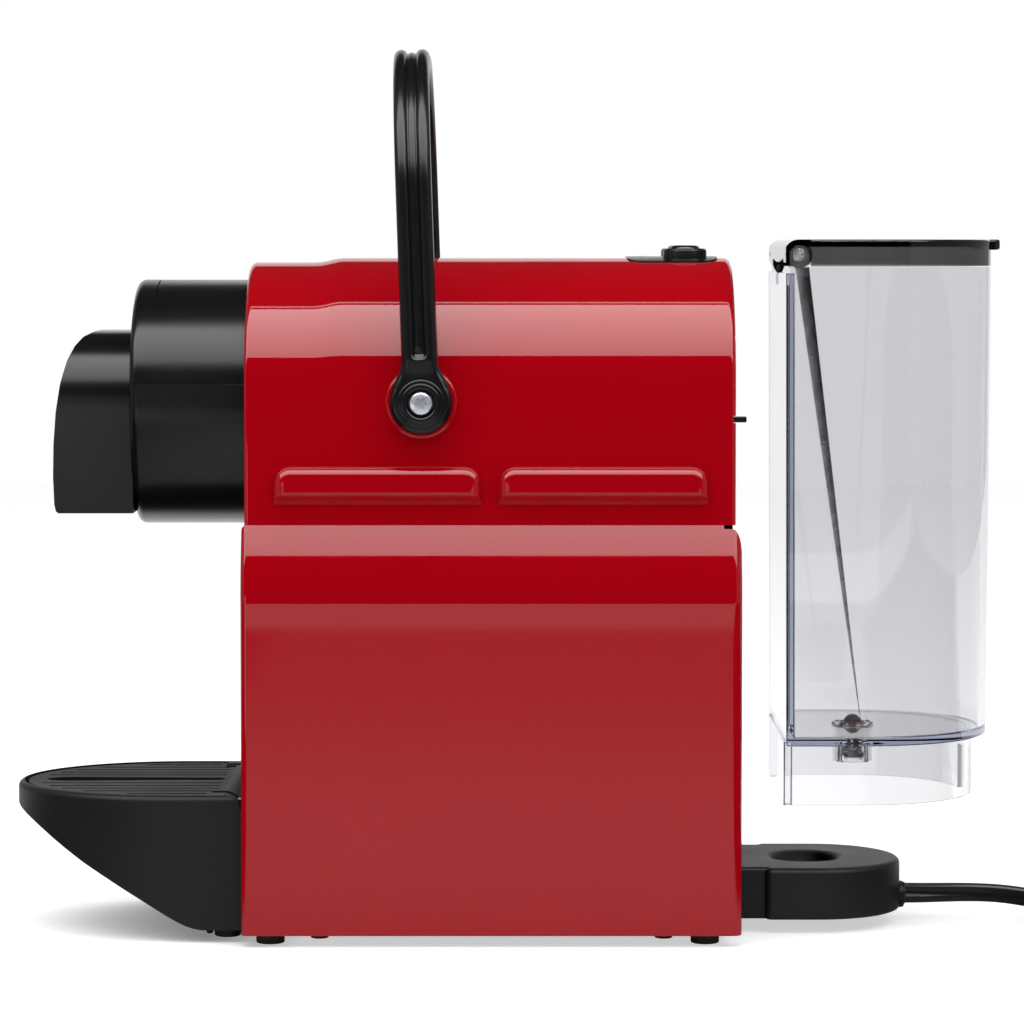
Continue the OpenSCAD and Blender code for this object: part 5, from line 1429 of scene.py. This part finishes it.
@dataclass
class PowerLead:
    """Twin lead that leaves the tank base, coils on the table and ends in a plug."""

    size: LeadSizes = field(default_factory=LeadSizes)

    def centreline(self) -> list[Vector]:
        """Middle of the lead from its exit to the plug, in mm, in even steps."""
        s = self.size
        knots = [Vector(p) for p in (
            s.exit, (144, 0, 9.5), (150, 0, 9.6), (160, 0, 9.7), (170, 0, 9.3), (180, 0, 8.0),
            (190, 0, 6.1), (200, 0, 4.4), (208, 0, 3.7), (215, 0, 3.6))]  # fmt: skip
        count = 108
        for i in range(count + 1):
            a = math.pi / 2 - math.tau * s.turns * i / count
            z = 3.6 + s.rise * s.turns * i / count
            knots.append(Vector((s.coil[0] + s.coil_r * math.cos(a), s.coil[1] + s.coil_r * math.sin(a), z)))
        cx, cy = s.coil[0] + 2, s.coil[1] - 20
        knots += [Vector((cx + 40, s.coil[1] - 6, 19.6)), Vector((cx + 40, s.coil[1] - 12, 18.2))]
        heights = (15.5, 11.5, 7.8, 5.4, 4.4, 4.4, 5)
        for i, z in enumerate(heights):
            a = math.radians(15 * i)
            knots.append(Vector((cx + 40 * math.cos(a), cy - 40 * math.sin(a), z)))
        knots.append(Vector((cx - 9, cy - 40, 6.5)))
        line = [knots[0]]
        for i in range(len(knots) - 1):
            p = [knots[max(i - 1, 0)], knots[i], knots[i + 1], knots[min(i + 2, len(knots) - 1)]]
            steps = max(int((p[2] - p[1]).length / 2.6), 1)
            for k in range(1, steps + 1):
                t = k / steps
                line.append(0.5 * ((2 * p[1]) + (p[2] - p[0]) * t + (2 * p[0] - 5 * p[1] + 4 * p[2] - p[3]) * t * t
                                   + (3 * p[1] - 3 * p[2] + p[3] - p[0]) * t * t * t))  # fmt: skip
        return line

    def section(self) -> list[Point]:
        """Outline of the twin lead: two round strands joined by a thin web."""
        s = self.size
        half = [(s.pitch / 2 + s.strand * math.cos(a), s.strand * math.sin(a))
                for a in (math.radians(-148 + 296 * i / 18) for i in range(19))]  # fmt: skip
        return half + [(-u, -v) for u, v in half]

    def build(self) -> None:
        """Models the lead, its sleeve and the plug."""
        line = self.centreline()
        outline = self.section()
        rows: list[Row] = []
        for i, point in enumerate(line):
            ahead = (line[min(i + 1, len(line) - 1)] - line[max(i - 1, 0)]).normalized()
            side = ahead.cross(Vector((0, 0, 1))).normalized()
            up = side.cross(ahead)
            far = (point - line[0]).length if i < 40 else 400.0
            twist = math.radians(28) * math.sin(math.pi * min(far / 62.0, 1.0))
            u = up * math.cos(twist) + side * math.sin(twist)
            v = side * math.cos(twist) - up * math.sin(twist)
            rows.append([tuple(point + u * a + v * b) for a, b in outline])
        lead = seat(smooth(skin("power_lead", rows), 50), "machine", "cord_black", LEAD_PVC,
                    "power_cord", "cord_coil", "cord_tail")  # fmt: skip
        plug = seat(softened("power_plug", "lead_plug", 1.1), "machine", "cord_black", LEAD_PVC, "power_plug")
        sleeve = softened("strain_relief", "lead_sleeve", 0.3)
        seat(sleeve, "machine", "rubber_black", RUBBER, "strain_relief")


# ---------- remaining works ----------


@dataclass
class Works:
    """Drawer, bin, feet and inner parts: softened copies where they show, finishes elsewhere."""

    shown: tuple[tuple[str, str, str, Finish, float], ...] = (
        ("drawer_bezel", "machine", "black_satin", SATIN_BLACK, 0.4),
        ("drawer_carrier", "drawer", "black_satin", SATIN_BLACK, 0.5),
        ("capsule_container", "bin", "black_gloss", GLOSS_BLACK, 0.6),
        ("base_plate", "machine", "black_satin", SATIN_BLACK, 0.3),
        ("feet", "machine", "rubber_black", RUBBER, 0.5),
        ("capsule_chute", "machine", "black_satin", SATIN_BLACK, 0.2),
        ("housing_screws", "machine", "zinc", BLACK_STEEL, 0.3),
        ("lever_shaft", "lever", "steel", STEEL, 0.2),
        ("valve_seal", "valve", "rubber_seal", SEAL, 0.2),
    )
    finishes: dict[str, Finish] = field(
        default_factory=lambda: {
            "valve_socket_seal": RUBBER, "outlet_plate": STEEL, "brew_frame_left": STEEL,
            "brew_frame_right": STEEL, "capsule_cage": CAST, "cage_seal": RUBBER,
            "piercing_blades": STEEL, "cage_pins": STEEL, "cam_plates": STEEL,
            "tray_hinge_pin": STEEL, "thermoblock": CAST, "thermostat": BRASS,
            "thermal_fuse": BRASS, "pump": GREY_PP, "pump_mounts": RUBBER, "flow_meter": WHITE_PA,
            "inlet_hose": WHITE_PA, "pump_hose": WHITE_PA, "pressure_hose": WHITE_PA,
            "brew_hose": WHITE_PA, "control_board": BOARD, "button_switches": GREY_PP,
        }
    )  # fmt: skip

    def build(self) -> None:
        """Seats the softened copies and gives every other CAD node its finish."""
        for node, body, slot, finish, width in self.shown:
            seat(softened(node, f"{node}_soft", width), body, slot, finish, node)
        for node, obj in MODEL["nodes"].items():
            finish = self.finishes.get(node, SATIN_BLACK)
            obj.data.materials.clear()
            obj.data.materials.append(finish.make())


# ---------- studio ----------


@dataclass(frozen=True)
class Card:
    """A flat light or screen that only mirrors see.

    Attributes:
        name: Its name.
        corners: Four corners, in mm.
        glow: Its radiance.
        inside: Its radiance for light that has passed through clear plastic.
        fade: Share of its radiance left at its lower edge.
    """

    name: str
    corners: tuple[tuple[float, float, float], ...]
    glow: float
    inside: float = 0.6
    fade: float = 1.0

    def build(self) -> bpy.types.Object:
        """Adds the card, seen by glossy rays alone."""
        obj = chain(self.name, [Vector(c) * MM for c in self.corners], True)
        made = bpy.data.materials.new(self.name)
        made.use_nodes = True
        made.node_tree.nodes.clear()
        path = add(made.node_tree, "ShaderNodeLightPath")
        level = add(
            made.node_tree,
            "ShaderNodeMapRange",
            {"To Min": self.glow, "To Max": self.inside},
            {"Value": path.outputs["Transmission Depth"]},
        )
        heights = [z * MM for _, _, z in self.corners]
        place = add(made.node_tree, "ShaderNodeTexCoord").outputs["Object"]
        height = add(made.node_tree, "ShaderNodeSeparateXYZ", links={0: place}).outputs["Z"]
        share = add(
            made.node_tree,
            "ShaderNodeMapRange",
            {"From Min": min(heights), "From Max": max(heights) + MM, "To Min": self.fade},
            {"Value": height},
        )
        strength = add(
            made.node_tree, "ShaderNodeMath", {"operation": "MULTIPLY"}, {0: level.outputs[0], 1: share.outputs[0]}
        )
        glow = add(made.node_tree, "ShaderNodeEmission", links={"Strength": strength.outputs[0]})
        add(made.node_tree, "ShaderNodeOutputMaterial", links={"Surface": glow.outputs[0]})
        obj.data.materials.append(made)
        for ray in ("camera", "diffuse", "shadow", "transmission", "volume_scatter"):
            setattr(obj, f"visible_{ray}", False)
        return obj


@dataclass(frozen=True)
class Lamp:
    """An area light, in mm and watts."""

    name: str
    place: tuple[float, float, float]
    aim: tuple[float, float, float]
    size: Point
    power: float

    def build(self) -> bpy.types.Object:
        """Adds the light, unseen by mirrors and by the camera."""
        bpy.ops.object.light_add(type="AREA", location=Vector(self.place) * MM)
        obj = bpy.context.object
        obj.name = self.name
        obj.rotation_euler = (Vector(self.aim) - Vector(self.place)).to_track_quat("-Z", "Y").to_euler()
        obj.data.shape = "RECTANGLE"
        obj.data.size, obj.data.size_y = self.size[0] * MM, self.size[1] * MM
        obj.data.energy = self.power
        obj.visible_glossy = False
        obj.visible_camera = False
        return obj


@dataclass
class Studio:
    """White sweep, soft overhead light and the camera of a product photograph."""

    cards: tuple[Card, ...] = (
        Card("soft_box", ((-700, -490, 400), (700, -490, 400), (700, -140, 640), (-700, -140, 640)), 6.6, fade=0.52),
        Card("soft_box_edge", ((-700, -124, 640), (700, -124, 640), (700, -111, 640), (-700, -111, 640)), 4.2),
        Card("low_fill", ((-420, -600, 0), (-178, -600, 0), (-178, -600, 140), (-420, -600, 140)), 1.4),
        Card("dark_front", ((-1500, -1500, 0), (1500, -1500, 0), (1500, -1500, 1600), (-1500, -1500, 1600)), 0.012),
        Card("ceiling", ((-1500, -1500, 1600), (1500, -1500, 1600), (1500, 2500, 1600), (-1500, 2500, 1600)), 0.05),
        Card("side_front", ((-1500, -1500, 0), (-1500, 2500, 0), (-1500, 2500, 1600), (-1500, -1500, 1600)), 0.3),
        Card("side_rear", ((1500, -1500, 0), (1500, 2500, 0), (1500, 2500, 1600), (1500, -1500, 1600)), 0.3),
    )
    lamps: tuple[Lamp, ...] = (
        Lamp("key", (0, -330, 560), (0, 0, 150), (1300, 450), 2.6),
        Lamp("overhead", (0, 100, 1400), (0, 0, 0), (2200, 2200), 9.0),
    )
    lens: float = 142.5
    place: tuple[float, float, float] = (1.5, -1400.0, 236.0)
    tilt: float = 2.68
    shift: float = -0.08

    def floor(self) -> None:
        """Adds the table: white where light falls on it and darker in shadow, with painted shadow near the machine
        and a painted dark reflection to either side.
        """
        corners = ((-1500, -1170, 0), (1500, -1170, 0), (1500, 2500, 0), (-1500, 2500, 0))
        obj = chain("table", [Vector(c) * MM for c in corners], True)
        made = bpy.data.materials.new("table_white")
        made.use_nodes = True
        tree = made.node_tree
        tree.nodes.clear()
        path = add(tree, "ShaderNodeLightPath").outputs
        place = add(tree, "ShaderNodeSeparateXYZ", links={
            0: add(tree, "ShaderNodeNewGeometry").outputs["Position"]}).outputs  # fmt: skip

        def maths(kind: str, a: object, b: object) -> object:
            """One step of arithmetic on two sockets or numbers."""
            given = {0: a, 1: b}
            fixed = {k: v for k, v in given.items() if isinstance(v, float)}
            linked = {k: v for k, v in given.items() if not isinstance(v, float)}
            return add(tree, "ShaderNodeMath", {"operation": kind, **fixed}, linked).outputs[0]

        behind = maths("GREATER_THAN", place["Y"], 0.1)
        direct = maths("MAXIMUM", path["Is Camera Ray"], path["Is Transmission Ray"])
        mirrored_far = maths("MULTIPLY", behind, path["Is Glossy Ray"])
        # Painted dark reflection: mirrors see the floor in front of Y 0.1 m nearly black where it lies more than
        # 0.13-0.19 m to either side of the middle.
        beside = add(tree, "ShaderNodeMapRange", {"From Min": 0.13, "From Max": 0.19},
                     {"Value": maths("ABSOLUTE", place["X"], 0.0)}).outputs[0]  # fmt: skip
        dark_reflection_mask = maths("MULTIPLY", maths("MULTIPLY", beside, path["Is Glossy Ray"]),
                              maths("SUBTRACT", 1.0, behind))  # fmt: skip
        # Painted shadow: the glow that the camera sees is dimmed by ambient occlusion near the machine; the dimming
        # weakens from X -0.11 m to -0.07 m and stays weak beyond.
        painted_shadow = add(tree, "ShaderNodeAmbientOcclusion", {"Distance": 0.07})
        painted_shadow_fade = add(tree, "ShaderNodeMapRange", {"From Min": -0.11, "From Max": -0.07}, {"Value": place["X"]})
        painted_shadow = maths("MAXIMUM", painted_shadow.outputs["AO"], maths("MULTIPLY", painted_shadow_fade.outputs[0], 0.56))
        level = add(tree, "ShaderNodeMapRange", {"From Min": 0.1, "From Max": 0.62, "To Min": 0.18, "To Max": 0.62},
                    {"Value": painted_shadow})  # fmt: skip
        glow = add(tree, "ShaderNodeEmission", links={"Strength": level.outputs[0]})
        matt = add(tree, "ShaderNodeBsdfDiffuse", {"Color": linear("#E6E6E6")})
        both = add(tree, "ShaderNodeAddShader", links={0: matt.outputs[0], 1: glow.outputs[0]})
        lit = add(tree, "ShaderNodeMixShader", links={
            0: maths("MAXIMUM", direct, mirrored_far), 1: matt.outputs[0], 2: both.outputs[0]})  # fmt: skip
        # Painted dark reflection: the nearly black stand-in that mirrors see at the floor's sides.
        painted_dark_reflection = add(tree, "ShaderNodeEmission", {"Strength": 0.03})
        out = add(tree, "ShaderNodeMixShader", links={
            0: dark_reflection_mask, 1: lit.outputs[0], 2: painted_dark_reflection.outputs[0]})  # fmt: skip
        add(tree, "ShaderNodeOutputMaterial", links={"Surface": out.outputs[0]})
        obj.data.materials.append(made)

    def world(self) -> None:
        """White for the camera, mirrors and clear plastic, softer as ambient light."""
        world = bpy.data.worlds.new("studio")
        bpy.context.scene.world = world
        world.use_nodes = True
        tree = world.node_tree
        tree.nodes.clear()
        path = add(tree, "ShaderNodeLightPath")
        seen = add(tree, "ShaderNodeMath", {"operation": "MAXIMUM"},
                   {0: path.outputs["Is Camera Ray"], 1: path.outputs["Is Glossy Ray"]})  # fmt: skip
        seen = add(tree, "ShaderNodeMath", {"operation": "MAXIMUM"},
                   {0: seen.outputs[0], 1: path.outputs["Is Transmission Ray"]})  # fmt: skip
        level = add(tree, "ShaderNodeMapRange", {"To Min": 0.42, "To Max": 1.0}, {"Value": seen.outputs[0]})
        glow = add(tree, "ShaderNodeBackground", {"Color": (1, 1, 1, 1)}, {"Strength": level.outputs[0]})
        add(tree, "ShaderNodeOutputWorld", links={"Surface": glow.outputs[0]})

    def camera(self) -> None:
        """Adds the camera: a long lens level with the lever, looking at the side."""
        bpy.ops.object.camera_add(
            location=Vector(self.place) * MM, rotation=(math.radians(90 - self.tilt), 0, 0)
        )
        eye = bpy.context.object
        eye.data.lens, eye.data.sensor_width = self.lens, 36
        eye.data.shift_y = self.shift
        bpy.context.scene.camera = eye

    def build(self) -> None:
        """Sets up the whole studio."""
        scene = bpy.context.scene
        scene.view_settings.view_transform = "Standard"
        self.world()
        self.floor()
        for piece in (*self.cards, *self.lamps):
            piece.build()
        self.camera()


def main() -> None:
    """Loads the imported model, dresses it and sets up the studio."""
    logging.basicConfig(level=logging.INFO, format="%(name)s: %(message)s")
    MODEL.update(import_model())
    Studio().build()
    PowerLead().build()
    for part in (Housing(), BrewingHead(), Lever(), Controls(), DripTray(), WaterTank(), TankBase(), Works()):
        part.build()


if __name__ == "__main__":
    main()
